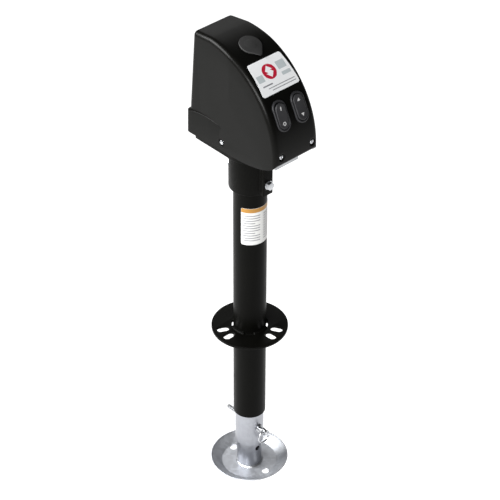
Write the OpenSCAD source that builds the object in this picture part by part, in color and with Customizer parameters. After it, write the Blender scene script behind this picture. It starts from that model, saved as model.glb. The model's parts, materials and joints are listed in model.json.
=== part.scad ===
// Electric tongue jack for an A-frame trailer.
// Origin: underside of the foot, on the axis of the column. +Z is up, the switches face -Y.
// All lengths are in millimetres.

/* [Column] */
// Outer diameter of the fixed outer tube
tube_od = 57.15; // [57.15:0.05:57.6]
// Wall thickness of the outer tube
tube_wall = 2.6; // [2.4:0.1:2.8]
// Height of the lower end of the outer tube
tube_bottom = 127.5; // [120:0.5:140]
// Outer diameter of the inner ram tube
ram_od = 50.8; // [50.4:0.1:51]
// Height of the lower end of the ram with the screw wound right in
ram_bottom = 57; // [56.6:0.1:58]
// Length of the ram tube
ram_length = 496; // [490:1:500]

/* [Drop leg] */
// Outer diameter of the drop leg
leg_od = 44.45; // [44:0.05:44.6]
// Height of the top of the drop leg
leg_top = 235; // [225:1:245]
// Height of the lowest hole in the drop leg
leg_hole_first = 44.5; // [42:0.5:46]
// Distance from one hole to the next
leg_hole_pitch = 25.4; // [25.4:0.1:25.8]
// Number of hole pairs
leg_hole_count = 7; // [7:1:7]
// Diameter of the holes
leg_hole_d = 10; // [9:0.5:10.5]

/* [Foot] */
// Outer diameter of the foot dish
foot_d = 140; // [130:1:150]
// Thickness of the foot's sheet
foot_sheet = 3; // [2.5:0.5:3]
// Height of the foot's rim
foot_height = 15.5; // [13:0.5:18]
// Distance between the two holes in the foot
foot_hole_spacing = 86; // [80:1:90]
// Diameter of the holes in the foot
foot_hole_d = 12.7; // [10:0.1:13]

/* [Flange] */
// Outer diameter of the mounting flange
flange_d = 133.2; // [132:0.2:140]
// Thickness of the flange
flange_t = 4.8; // [4.6:0.1:5.2]
// Height of the upper face of the flange
flange_top = 321.2; // [300:0.4:400]
// Width of a bolt slot
slot_w = 13.5; // [11:0.5:15]
// Length of a bolt slot from end to end
slot_l = 22; // [20:0.5:23]

/* [Head] */
// Radius of the arc of the cover's face
face_r = 159.6; // [159:0.1:160]
// Wall thickness of the cover
cover_wall = 3; // [2.5:0.1:3]
// Radius of the cover's rounded edges
cover_edge = 9; // [8:0.5:10]
// Outer radius of the neck of the gear case
neck_r = 36.2; // [35.8:0.1:37]

/* [Drive] */
// Diameter of the lead screw
screw_d = 19; // [18:0.5:19]
// Module of the gear pair
gear_module = 1.5; // [1.5:0.1:1.5]
// Teeth on the output gear
gear_teeth = 45; // [45:1:45]
// Teeth on the motor pinion
pinion_teeth = 15; // [15:1:15]

/* [Hidden] */
$fn = 64;
// How far a cutter reaches past the faces that it cuts
past = 1;
// Radial clearance of a running fit
clearance = 0.1;

tube_r = tube_od / 2;
tube_inner_r = tube_r - tube_wall;
tube_top = 668;
ram_r = ram_od / 2;
ram_inner_r = 22.6;
guide_inner_r = 21.5;
guide_h = 10;
nut_flange_t = 4;
nut_depth = 30;
ram_top = ram_bottom + ram_length;
leg_r = leg_od / 2;
leg_inner_r = leg_r - 3;
foot_floor_r = 51.5;
foot_weld_size = 2.5;
foot_roll = 1.2;
tube_label_z = 512;
tube_label_h = 74;
tube_label_half_angle = 74;
tube_label_t = 0.3;

pin_r = 4;
pin_z = leg_hole_first + 2 * leg_hole_pitch;
pin_rear_y = 58;
eye_y = -38;
eye_r = 7;
eye_t = 5;
eye_hole_r = 2.2;
pin_collar_r = 7.5;
pin_collar_t = 2.8;
pin_tip = 3;
ring_wire_r = 1.4;
ring_r = 12.5;

flange_bore_r = 31.4;
slot_centre_r = 48.5;
slot_pair_angle = 47.6;
slot_half_spread = 12.5;
weld_arc = 60;
weld_leg = 3.5;
weld_lap = 1.6;

neck_bottom = 616.5;
boss_y = 43.5;
boss_w = 21.4;
neck_bolt_z = 637;
neck_bolt_r = 4;
neck_bolt_tip = 26.2;
neck_bolt_flats = 13;
neck_bolt_head = 5.5;
washer_t = 1.5;
washer_r = 8;

case_w = 84;
case_rear_y = 91;
case_front_y = -42;
case_floor_z = 683;
case_floor_t = 6;
case_top = 722;
case_wall = 4;
case_corner = 6;
case_screw_x = 34;
case_screw_y = [27, 85];
case_screw_depth = 12;
case_boss_r = 4.5;
lid_t = 5;
lid_top = case_top + lid_t;
screw_r = 2;
screw_hole_r = 2.3;
lid_screw_head = 3;

face_y = 50;
face_z = 730.4;
cover_bottom_front = 728;
cover_bottom_rear = 697;
cover_rear_top = [92, 886];
cover_rear_bottom = [98, 690];
cover_middle_z = 790;
bulge_top = 745;
bulge_front_half_w = 49;
bulge_half_w = 51.5;
bulge_rear_y = 101;
bulge_arch_y = 52;
bulge_arch_r = 157;
cover_front_y = -112;
cover_sweep_y = -108;
post_inset = 0.5;
seat_margin = 2;
// Deeper than any recess that a cutter has to make
far = 20;
// Wider than the whole head
past_head = 160;

plug_angle = 72;
plug_r = 19;
plug_hole_r = 13.8;
plug_seat = -1.4;
plug_rim = 1.8;
plug_dome = 3.1;
plug_dome_r = 60.8;
plug_depth = 9;
plug_tab_r = 4.5;
plug_tab_reach = 3;
plug_tab_z = [0.2, 2.6];
label_angle = 50.4;
label_h = 58;
label_half_w = 32.8;
label_taper = 2.2;
label_corner = 4;
label_t = 0.4;
// More than the face curves away behind the label
label_sag = 4;
switch_angle = 27;
switch_x = 19.6;
bezel_w = 27;
bezel_l = 52;
bezel_h = 2.4;
bezel_step = 0.8;
seat_z = -2.8;
rocker_w = 19.8;
rocker_l = 43;
rocker_z = [-0.2, 3.4, 4.4];
rocker_step = 0.8;
rocker_lug = [12, 9, -8.6];
rocker_pivot_z = -6;
rocker_tilt = 5;
switch_body_top = -12.2;
switch_box = [21.6, 36.6];
switch_window = [17, 32];
box_corner = 0.8;
// Play of the rocker in its surround and of the body behind it, across and along
switch_gap = [0.5, 1.5];
well_z = -2.2;
switch_pin_r = 1.25;
switch_body_l = 20;
terminal_size = [6, 0.8, 8];
terminal_y = [-10, 0, 10];

chassis_z = 727;
chassis_t = 2.5;
chassis_front_y = -99;
chassis_rear_y = -18;
chassis_w = 76;
chassis_flange_t = 3;
chassis_flange_w = 80;
chassis_flange_z = [726, 747];
// Lip that hangs below the cover's front edge
chassis_lip_w = 50;
chassis_lip_y = -86;
chassis_lip_bottom = 698.5;
grommet_x = 20;
grommet_z = 712;
grommet_r = 5.9;
grommet_y = [94, 105];
grommet_collar_y = [101.2, 103.2];
grommet_collar_r = 8;
lead_r = 3.4;
breaker_corner = [-32, -78];
breaker_size = [22, 30, 13];
breaker_stud_y = [8, 22];
breaker_stud_r = 2.5;
breaker_stud_h = 7;

front_screw_x = 33.3;
front_screw_z = 738.5;
front_screw_y = chassis_front_y - chassis_flange_t;
front_seat_y = -106.6;
side_seat = 5.4;
seat_r = 6;
post_r = 8.5;
side_post_l = 10;
pan_rim = 1.4;
pan_dome = 1;
side_screw_y = 16;
side_screw_z = 712.4;

flange_face_z = 655;
screw_flange_r = 18;
screw_flange_t = 5;
screw_bottom = 166;
screw_top = 745;
collar_r = 13;
collar_t = 6;
race_t = 2;
race_bore_r = 9.2;
race_z = flange_face_z + screw_flange_t;
ball_r = 2;
ball_circle_r = 13.5;
journal_r = 8;
bush_r = 12;
bush_h = 22;
key_w = 5;
key_depth = 2.5;
lock_nut_r = 13.8;
lock_nut_h = 9;
output_gear_z = 693;
output_gear_t = 16;
motor_y = gear_module * (gear_teeth + pinion_teeth) / 2;
motor_r = 27;
motor_spigot_r = 14;
motor_shaft_r = 5;
motor_shaft_top = 739;
gearhead_top = 756;
motor_top = 838;
end_cap_t = 6;
motor_screw_x = 18;
brush_y = 16;
blade_w = 6.4;
blade_t = 1;
blade_h = 15;
motor_boss_r = 9;
motor_boss_h = 11;
motor_screw_depth = 10;
motor_screw_end = 8;
motor_head_r = 3.5;
motor_head_h = 2.5;
pinion_overhang = 2;
sleeve_bottom = 730;
sleeve_shoulder = 750;
shaft_top = 858;
hex_h = 22;
hex_flats = 19;
roll_pin_z = 737;
roll_pin_r = 2;

// ---------- shared shapes ----------

// A tube standing on the XY plane.
module tube(outer, inner, height) {
    difference() {
        cylinder(r = outer, h = height);
        translate([0, 0, -past]) cylinder(r = inner, h = height + 2 * past);
    }
}

// A plate with rounded corners, from x0 to x1 and y0 to y1.
module rounded_plate(x0, x1, y0, y1, corner, height) {
    linear_extrude(height) {
        translate([x0 + corner, y0]) square([x1 - x0 - 2 * corner, y1 - y0]);
        translate([x0, y0 + corner]) square([x1 - x0, y1 - y0 - 2 * corner]);
        for (x = [x0 + corner, x1 - corner], y = [y0 + corner, y1 - corner]) {
            translate([x, y]) circle(r = corner);
        }
    }
}

// A rounded plate centred on the local origin.
module pad(width, length, corner, low, high) {
    translate([0, 0, low]) {
        rounded_plate(-width / 2, width / 2, -length / 2, length / 2, corner, high - low);
    }
}

// A cylinder along Y from y0 to y1.
module along_y(radius, y0, y1) {
    translate([0, y0, 0]) rotate([-90, 0, 0]) cylinder(r = radius, h = y1 - y0);
}

// A cylinder along X, centred.
module along_x(radius, length) {
    rotate([0, 90, 0]) cylinder(r = radius, h = length, center = true);
}

// A hexagonal prism along Y.
module hex_along_y(across_flats, y0, y1) {
    translate([0, y0, 0]) rotate([-90, 0, 0]) {
        cylinder(r = across_flats / 2 / cos(30), h = y1 - y0, $fn = 6);
    }
}

// Moves children onto the cover's face: local +Z is the outward normal, local +Y runs up the face.
module on_face(angle) {
    translate([0, face_y, face_z]) rotate([90 - angle, 0, 0]) translate([0, 0, face_r]) children();
}

// Moves children to each of the two switches.
module at_switch(side) {
    on_face(switch_angle) translate([side * switch_x, 0, 0]) children();
}

// The involute flank: the polar angle gained between the base circle and radius r.
function involute_angle(base, r) = r <= base ? 0 : sqrt(pow(r / base, 2) - 1) * 180 / PI - acos(base / r);

// Outline of a spur gear with a tooth centred on +X and a little backlash.
function gear_outline(teeth, m) = let (
    pitch = m * teeth / 2,
    base = pitch * cos(25),
    tip = pitch + 0.85 * m,
    root = pitch - 1.2 * m,
    half = 90 / teeth - 0.14 / pitch * 180 / PI,
    at_pitch = involute_angle(base, pitch),
    flank = [for (k = [0:3]) max(base, root) + (tip - max(base, root)) * k / 3],
    up = concat([[root, half + at_pitch]], [for (r = flank) [r, half + at_pitch - involute_angle(base, r)]])
) [
    for (t = [0:teeth - 1], i = [0:9]) let (
        p = i < 5 ? up[i] : up[9 - i],
        a = t * 360 / teeth + (i < 5 ? -p[1] : p[1])
    ) [p[0] * cos(a), p[0] * sin(a)]
];

// ---------- column ----------

module outer_tube() {
    color("#1c1c1a") difference() {
        translate([0, 0, tube_bottom]) tube(tube_r, tube_inner_r, tube_top - tube_bottom);
        translate([0, 0, neck_bolt_z]) along_y(neck_bolt_r, -tube_od, tube_od);
    }
}

module slot_cutter() {
    half = (slot_l - slot_w) / 2;
    translate([slot_centre_r - half, -slot_w / 2, -past]) cube([2 * half, slot_w, flange_t + 2 * past]);
    for (x = [slot_centre_r - half, slot_centre_r + half]) {
        translate([x, 0, -past]) cylinder(d = slot_w, h = flange_t + 2 * past);
    }
}

module mounting_flange() {
    color("#161616") translate([0, 0, flange_top - flange_t]) difference() {
        tube(flange_d / 2, flange_bore_r, flange_t);
        for (pair = [0, 120, 240], side = [-1, 1]) {
            rotate([0, 0, slot_pair_angle + pair + side * slot_half_spread]) slot_cutter();
        }
    }
}

// Four weld runs bridge the gap between flange and tube, flush with the flange's underside.
module flange_welds() {
    low = flange_top - flange_t;
    color("#1a1a18") for (turn = [0:90:270]) {
        rotate([0, 0, turn - weld_arc / 2]) rotate_extrude(angle = weld_arc) polygon([
            [tube_r, low], [flange_bore_r, low], [flange_bore_r, flange_top],
            [flange_bore_r + weld_lap, flange_top], [tube_r, flange_top + weld_leg]
        ]);
    }
}

module tube_label() {
    color("#e8e8e4") translate([0, 0, tube_label_z]) rotate([0, 0, 270 - tube_label_half_angle]) {
        rotate_extrude(angle = 2 * tube_label_half_angle) translate([tube_r, 0]) {
            square([tube_label_t, tube_label_h]);
        }
    }
}

// ---------- gear case ----------

module case_outline(inset, height) {
    rounded_plate(
        -case_w / 2 + inset, case_w / 2 - inset, case_front_y + inset, case_rear_y - inset,
        case_corner - inset / 2, height
    );
}

// The front of the case is half round, about the screw.
module case_block(inset, height) {
    intersection() {
        case_outline(inset, height);
        union() {
            cylinder(r = case_w / 2 - inset, h = height);
            translate([-case_w / 2, 0, 0]) cube([case_w, case_rear_y, height]);
        }
    }
}

module gearcase_screw_places() {
    for (x = [-case_screw_x, case_screw_x], y = case_screw_y) translate([x, y, 0]) children();
}

module gearcase_lower() {
    color("#20201e") difference() {
        union() {
            translate([0, 0, neck_bottom]) cylinder(r = neck_r, h = case_floor_z - neck_bottom);
            for (turn = [0, 180]) rotate([0, 0, turn]) {
                translate([-boss_w / 2, -boss_y, neck_bottom]) {
                    cube([boss_w, boss_y, case_floor_z - neck_bottom]);
                }
            }
            translate([0, 0, case_floor_z]) case_block(0, case_floor_t);
            translate([0, 0, case_floor_z]) difference() {
                case_block(0, case_top - case_floor_z);
                translate([0, 0, case_floor_t]) case_block(case_wall, case_top);
            }
            translate([0, 0, case_floor_z]) gearcase_screw_places() {
                cylinder(r = case_boss_r, h = case_top - case_floor_z);
            }
        }
        translate([0, 0, neck_bottom - past]) cylinder(r = tube_r, h = tube_top - neck_bottom + past);
        translate([0, 0, neck_bottom]) cylinder(r = bush_r, h = case_top - neck_bottom);
        translate([0, 0, neck_bolt_z]) along_y(neck_bolt_r, -boss_y - past, boss_y + past);
        translate([0, 0, case_top - case_screw_depth]) gearcase_screw_places() {
            cylinder(r = screw_r, h = case_screw_depth + past);
        }
        for (side = [-1, 1]) translate([side * case_w / 2, side_screw_y, side_screw_z]) {
            along_x(screw_r, 3 * case_wall);
        }
    }
}

module neck_bolt() {
    hex_along_y(neck_bolt_flats, -boss_y - washer_t - neck_bolt_head, -boss_y - washer_t);
    along_y(neck_bolt_r, -boss_y - washer_t, -neck_bolt_tip);
}

module neck_bolts() {
    color("#c8c8cc") translate([0, 0, neck_bolt_z]) for (turn = [0, 180]) rotate([0, 0, turn]) neck_bolt();
}

module neck_washers() {
    color("#b8b8bc") translate([0, 0, neck_bolt_z]) for (turn = [0, 180]) {
        rotate([0, 0, turn]) difference() {
            along_y(washer_r, -boss_y - washer_t, -boss_y);
            along_y(neck_bolt_r + clearance, -boss_y - washer_t - past, -boss_y + past);
        }
    }
}

module gearcase_lid() {
    color("#2a2a2a") translate([0, 0, case_top]) difference() {
        case_block(0, lid_t);
        translate([0, 0, -past]) cylinder(r = bush_r, h = lid_t + 2 * past);
        translate([0, motor_y, -past]) cylinder(r = motor_spigot_r, h = lid_t + 2 * past);
        translate([0, 0, -past]) gearcase_screw_places() cylinder(r = screw_hole_r, h = lid_t + 2 * past);
    }
}

module gearcase_screws() {
    color("#b8b8bc") gearcase_screw_places() {
        translate([0, 0, case_top - case_screw_depth]) cylinder(r = screw_r, h = case_screw_depth + lid_t);
        translate([0, 0, lid_top]) cylinder(r = 2 * screw_r, h = lid_screw_head);
    }
}

// ---------- screw and its bearings ----------

module thrust_race_lower() {
    color("#c0c4c8") translate([0, 0, race_z]) tube(screw_flange_r, race_bore_r, race_t);
}

module thrust_balls() {
    color("#d8dce0") for (turn = [0:30:330]) {
        rotate([0, 0, turn]) translate([ball_circle_r, 0, race_z + race_t + ball_r]) sphere(r = ball_r);
    }
}

module thrust_race_upper() {
    color("#c0c4c8") translate([0, 0, tube_top - race_t]) tube(screw_flange_r, race_bore_r, race_t);
}

module screw_bush() {
    color("#b08d4a") translate([0, 0, tube_top]) tube(bush_r, journal_r + clearance, bush_h);
}

module lid_bush() {
    color("#b08d4a") translate([0, 0, case_top]) tube(bush_r, journal_r + clearance, lid_t);
}

module lead_screw() {
    color("#a8acb0") difference() {
        union() {
            translate([0, 0, screw_bottom - collar_t]) cylinder(r = collar_r, h = collar_t);
            translate([0, 0, screw_bottom]) cylinder(d = screw_d, h = flange_face_z - screw_bottom);
            translate([0, 0, flange_face_z]) cylinder(r = screw_flange_r, h = screw_flange_t);
            translate([0, 0, race_z]) cylinder(r = journal_r, h = screw_top - race_z);
        }
        translate([-key_w / 2, journal_r - key_depth, output_gear_z]) cube([key_w, key_w, output_gear_t]);
        translate([0, 0, roll_pin_z]) along_x(roll_pin_r, 3 * journal_r);
    }
}

module output_gear() {
    color("#8c8c84") translate([0, 0, output_gear_z]) difference() {
        rotate([0, 0, 90]) linear_extrude(output_gear_t) polygon(gear_outline(gear_teeth, gear_module));
        translate([0, 0, -past]) cylinder(r = journal_r, h = output_gear_t + 2 * past);
        translate([-key_w / 2, 0, -past]) cube([key_w, journal_r + key_depth, output_gear_t + 2 * past]);
    }
}

module gear_key() {
    color("#70747a") translate([-key_w / 2, journal_r - key_depth, output_gear_z]) {
        cube([key_w, 2 * key_depth, output_gear_t]);
    }
}

module gear_lock_nut() {
    color("#b8b8bc") translate([0, 0, output_gear_z + output_gear_t]) difference() {
        cylinder(r = lock_nut_r, h = lock_nut_h, $fn = 6);
        translate([0, 0, -past]) cylinder(r = journal_r, h = lock_nut_h + 2 * past);
    }
}

// Sleeve pinned to the top of the screw, with a hexagonal head for the hand crank.
module override_shaft() {
    color("#9a9ea4") difference() {
        union() {
            translate([0, 0, sleeve_bottom]) cylinder(r = bush_r, h = sleeve_shoulder - sleeve_bottom);
            translate([0, 0, sleeve_shoulder]) {
                cylinder(r = journal_r, h = shaft_top - hex_h - sleeve_shoulder);
            }
            translate([0, 0, shaft_top - hex_h]) cylinder(r = hex_flats / 2 / cos(30), h = hex_h, $fn = 6);
        }
        translate([0, 0, sleeve_bottom - past]) {
            cylinder(r = journal_r, h = screw_top - sleeve_bottom + past);
        }
        translate([0, 0, roll_pin_z]) along_x(roll_pin_r, 3 * bush_r);
    }
}

module override_roll_pin() {
    color("#70747a") translate([0, 0, roll_pin_z]) along_x(roll_pin_r, 2 * bush_r);
}

// ---------- motor ----------

module at_motor(height) {
    translate([0, motor_y, height]) children();
}

module at_motor_screws(height) {
    for (x = [-motor_screw_x, motor_screw_x]) at_motor(height) translate([x, 0, 0]) children();
}

// The two flat blades that take the motor's wires.
module brush_blades(low, high) {
    for (y = [-brush_y, brush_y]) translate([-blade_w / 2, y - blade_t / 2, low]) {
        cube([blade_w, blade_t, high - low]);
    }
}

module motor_gearhead() {
    color("#8c8c90") difference() {
        union() {
            at_motor(lid_top) cylinder(r = motor_r, h = gearhead_top - lid_top);
            at_motor(case_top) cylinder(r = motor_spigot_r, h = lid_t);
        }
        at_motor(case_top - past) {
            cylinder(r = motor_shaft_r + clearance, h = motor_shaft_top + 3 * past - case_top);
        }
        at_motor_screws(gearhead_top - motor_screw_depth) {
            cylinder(r = screw_r, h = motor_screw_depth + past);
        }
    }
}

module motor_can() {
    color("#303236") difference() {
        at_motor(gearhead_top) cylinder(r = motor_r, h = motor_top - gearhead_top);
        at_motor_screws(gearhead_top - past) cylinder(r = screw_r, h = motor_top - gearhead_top + 2 * past);
    }
}

module motor_end_cap() {
    color("#17181a") difference() {
        at_motor(motor_top) {
            cylinder(r = motor_r, h = end_cap_t);
            cylinder(r = motor_boss_r, h = motor_boss_h);
        }
        at_motor_screws(motor_top - past) cylinder(r = screw_r, h = end_cap_t + 2 * past);
        at_motor(motor_top) brush_blades(-past, end_cap_t + past);
    }
}

module motor_terminals() {
    color("#c9a94a") at_motor(motor_top) brush_blades(0, blade_h);
}

module motor_screws() {
    low = gearhead_top - motor_screw_end;
    head_z = motor_top + end_cap_t;
    color("#b8b8bc") {
        at_motor_screws(low) cylinder(r = screw_r, h = head_z - low);
        at_motor_screws(head_z) cylinder(r = motor_head_r, h = motor_head_h);
    }
}

module motor_pinion() {
    low = output_gear_z - pinion_overhang;
    color("#a8acb0") at_motor(low) {
        rotate([0, 0, 270 - 180 / pinion_teeth]) linear_extrude(output_gear_t + 2 * pinion_overhang) {
            polygon(gear_outline(pinion_teeth, gear_module));
        }
        cylinder(r = motor_shaft_r, h = motor_shaft_top - low);
    }
}

// ---------- cover ----------

// Half width of the cover at a point of its side.
function cover_half_width(y, z) = let (up = (z - cover_bottom_rear) / 190)
    50 - 4 * up - 5 * up * max(0, y / cover_rear_top[0]) - (y < 0 ? 3.5 * pow(y / 109, 2) * (1 - up) : 0);

// The centre line of the cover's rounded edge, from the side: a list of [y, z, angle of the normal].
function cover_edge_line() = let (
    front = face_y - face_r + cover_edge,
    arc_r = face_r - cover_edge,
    low = cover_rear_bottom[1],
    top = cover_rear_top - [cover_edge, cover_edge],
    bottom = cover_rear_bottom - [cover_edge, 0],
    top_normal = 90 + atan2(top[1] - face_z - arc_r, top[0] - face_y),
    rear_normal = atan2(bottom[0] - top[0], top[1] - bottom[1])
) concat(
    [for (a = [-90:-30:-180]) [front, low, a]],
    [for (a = [180:-5:90]) [face_y + arc_r * cos(a), face_z + arc_r * sin(a), a]],
    [[face_y, face_z + arc_r, top_normal]],
    [for (k = [0:3]) [top[0], top[1], top_normal + (rear_normal - top_normal) * k / 3]],
    [for (k = [0:3]) [bottom[0], bottom[1], rear_normal - (rear_normal + 90) * k / 3]]
);

// One ring of the cover's surface: where the edge has turned by angle b from the face towards the side.
function cover_ring(line, side, radius, b) = [
    for (p = line) [
        side * (cover_half_width(p[0], p[1]) - cover_edge + radius * sin(b)),
        p[0] + radius * cos(b) * cos(p[2]),
        p[1] + radius * cos(b) * sin(p[2])
    ]
];

// A ring on the flat of the side, halfway to its middle.
function cover_side_ring(line, side, wall) = [
    for (p = line) let (y = p[0] / 2, z = (p[1] + cover_middle_z) / 2)
        [side * (cover_half_width(y, z) - wall), y, z]
];

// The cover's rounded block. A wall makes it smaller by that much all round.
module cover_block(wall) {
    line = cover_edge_line();
    count = len(line);
    radius = cover_edge - wall;
    rings = concat(
        [cover_side_ring(line, -1, wall)],
        [for (b = [90:-18:0]) cover_ring(line, -1, radius, b)],
        [for (b = [0:18:90]) cover_ring(line, 1, radius, b)],
        [cover_side_ring(line, 1, wall)]
    );
    middle = cover_half_width(0, cover_middle_z) - wall;
    ends = [[-middle, 0, cover_middle_z], [middle, 0, cover_middle_z]];
    last = count * len(rings);
    bands = [
        for (k = [0:len(rings) - 2], i = [0:count - 1])
            let (j = (i + 1) % count, low = k * count, high = low + count)
            each [[low + i, low + j, high + i], [high + i, low + j, high + j]]
    ];
    caps = [
        for (i = [0:count - 1]) let (j = (i + 1) % count)
            each [[last, j, i], [last + 1, last - count + i, last - count + j]]
    ];
    polyhedron(points = concat([for (ring = rings) each ring], ends), faces = concat(bands, caps));
}

// The arched top edge of the bulge, seen from the side.
function bulge_arch_z(y) = bulge_top - pow(y - bulge_arch_y, 2) / 2 / bulge_arch_r;

// Low bulge round the rear half of the cover, under an arched top edge. It fades out towards the front.
module cover_bulge(wall) {
    rear = bulge_rear_y - cover_edge;
    corner = bulge_half_w - cover_edge;
    low = cover_rear_bottom[1];
    intersection() {
        translate([0, 0, low]) linear_extrude(bulge_top - low + past) {
            polygon([
                [wall - bulge_front_half_w, 0], [bulge_front_half_w - wall, 0],
                [bulge_half_w - wall, rear], [wall - bulge_half_w, rear]
            ]);
            translate([-corner, 0]) square([2 * corner, bulge_rear_y - wall]);
            for (side = [-1, 1]) translate([side * corner, rear]) circle(r = cover_edge - wall);
        }
        rotate([90, 0, 90]) linear_extrude(past_head, center = true) polygon(concat(
            [[0, low - past]],
            [for (y = [0:8:2 * bulge_arch_y]) [y, bulge_arch_z(y) - wall]],
            [[2 * bulge_arch_y, low - past]]
        ));
    }
}

// Everything below the cover's lower edge, which is level at the rear and sweeps up to the front.
module below_cover() {
    rise = cover_bottom_front - cover_bottom_rear;
    low = cover_bottom_rear - past_head;
    sweep = [for (a = [0:10:90]) [cover_sweep_y * sin(a), cover_bottom_front - rise * cos(a)]];
    rotate([90, 0, 90]) linear_extrude(past_head, center = true) polygon(concat(
        [[past_head, cover_bottom_rear]],
        sweep,
        [[-past_head, cover_bottom_front], [-past_head, low], [past_head, low]]
    ));
}

module cover() {
    color("#1b1b19") difference() {
        union() {
            difference() {
                union() {
                    cover_block(0);
                    cover_bulge(0);
                }
                cover_block(cover_wall);
                cover_bulge(cover_wall);
            }
            intersection() {
                cover_block(post_inset);
                union() {
                    for (side = [-1, 1]) at_switch(side) {
                        pad(
                            bezel_w + 2 * seat_margin, bezel_l + 2 * seat_margin, bezel_w / 2,
                            seat_z - cover_wall, past
                        );
                    }
                    for (side = [-1, 1]) translate([side * front_screw_x, 0, front_screw_z]) {
                        along_y(post_r, cover_front_y, front_screw_y);
                    }
                    for (side = [-1, 1]) {
                        translate([side * (case_w + side_post_l) / 2, side_screw_y, side_screw_z]) {
                            along_x(post_r, side_post_l);
                        }
                    }
                }
            }
        }
        below_cover();
        for (side = [-1, 1]) at_switch(side) {
            pad(bezel_w + 4 * clearance, bezel_l + 4 * clearance, bezel_w / 2, seat_z, far);
            pad(switch_box[0] + 4 * clearance, switch_box[1] + 4 * clearance, 1, -far, far);
        }
        on_face(plug_angle) {
            translate([0, 0, plug_seat]) cylinder(r = plug_r + 2 * clearance, h = far);
            translate([0, 0, -far]) cylinder(r = plug_hole_r, h = 2 * far);
        }
        for (side = [-1, 1]) translate([side * front_screw_x, 0, front_screw_z]) {
            along_y(screw_hole_r, cover_front_y, front_screw_y + past);
            along_y(seat_r, cover_front_y, front_seat_y);
        }
        for (side = [-1, 1]) translate([side * case_w / 2, side_screw_y, side_screw_z]) {
            rotate([0, side * 90, 0]) translate([0, 0, side_seat]) cylinder(r = seat_r, h = far);
            rotate([0, side * 90, 0]) cylinder(r = screw_hole_r, h = far);
        }
        translate([grommet_x, 0, grommet_z]) along_y(grommet_r + clearance, case_rear_y, case_rear_y + far);
    }
}

// A screw with a low domed head. The local origin is under the head.
module pan_screw(shank) {
    head_r = 2 * screw_r;
    translate([0, 0, -shank]) cylinder(r = screw_r, h = shank);
    cylinder(r = head_r, h = pan_rim);
    translate([0, 0, pan_rim]) cylinder(r1 = head_r, r2 = head_r - pan_rim, h = pan_dome);
}

module front_screws() {
    color("#d0d2d6") for (side = [-1, 1]) {
        translate([side * front_screw_x, front_seat_y, front_screw_z]) rotate([90, 0, 0]) pan_screw(9);
    }
}

module side_screws() {
    color("#d0d2d6") for (side = [-1, 1]) {
        translate([side * (case_w / 2 + side_seat), side_screw_y, side_screw_z]) {
            rotate([0, side * 90, 0]) pan_screw(case_wall + side_seat);
        }
    }
}

// Curved plate on the face, a little wider at its lower edge.
module label_plate() {
    color("#f2f2f0") intersection() {
        translate([0, face_y, face_z]) difference() {
            along_x(face_r + label_t, case_w);
            along_x(face_r, case_w + 2 * past);
        }
        on_face(label_angle) linear_extrude(2 * label_sag, center = true) hull() {
            for (end = [-1, 1], side = [-1, 1]) {
                translate([side * (label_half_w - end * label_taper), end * (label_h / 2 - label_corner)]) {
                    circle(r = label_corner);
                }
            }
        }
    }
}

module override_plug() {
    tab_y = -plug_r - plug_tab_reach;
    tab_t = plug_tab_z[1] - plug_tab_z[0];
    color("#38383a") on_face(plug_angle) {
        translate([0, 0, -plug_depth]) cylinder(r = plug_hole_r - clearance, h = plug_depth);
        translate([0, 0, plug_seat]) cylinder(r = plug_r, h = plug_rim - plug_seat);
        translate([0, 0, plug_rim]) rotate_extrude() intersection() {
            translate([0, plug_dome - plug_dome_r]) circle(r = plug_dome_r, $fn = 96);
            square([plug_r, far]);
        }
        translate([-plug_tab_r, tab_y, plug_tab_z[0]]) cube([2 * plug_tab_r, 2 * plug_tab_reach, tab_t]);
        translate([0, tab_y, plug_tab_z[0]]) cylinder(r = plug_tab_r, h = tab_t);
    }
}

// ---------- inside the cover ----------

// Folded plate on top of the gear case. Its front flange takes the front screws, and a lip hangs under it.
module chassis_plate() {
    color("#b4b6b8") difference() {
        union() {
            translate([-chassis_w / 2, chassis_front_y, chassis_z]) {
                cube([chassis_w, chassis_rear_y - chassis_front_y, chassis_t]);
            }
            translate([-chassis_flange_w / 2, front_screw_y, chassis_flange_z[0]]) {
                cube([chassis_flange_w, chassis_flange_t, chassis_flange_z[1] - chassis_flange_z[0]]);
            }
            translate([-chassis_lip_w / 2, chassis_lip_y, chassis_lip_bottom]) {
                cube([chassis_lip_w, chassis_t, chassis_z + chassis_t - chassis_lip_bottom]);
            }
        }
        for (side = [-1, 1]) translate([side * front_screw_x, 0, front_screw_z]) {
            along_y(screw_r, front_screw_y - past, chassis_front_y + past);
        }
    }
}

module lead_grommet() {
    color("#202020") translate([grommet_x, 0, grommet_z]) difference() {
        union() {
            along_y(grommet_r, grommet_y[0], grommet_y[1]);
            along_y(grommet_collar_r, grommet_collar_y[0], grommet_collar_y[1]);
        }
        along_y(lead_r, grommet_y[0] - past, grommet_y[1] + past);
    }
}

module circuit_breaker() {
    color("#2b2b30") translate([breaker_corner[0], breaker_corner[1], chassis_z + chassis_t]) {
        cube(breaker_size);
        for (y = breaker_stud_y) translate([breaker_size[0] / 2, y, breaker_size[2]]) {
            cylinder(r = breaker_stud_r, h = breaker_stud_h);
        }
    }
}

// ---------- switches ----------

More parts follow.
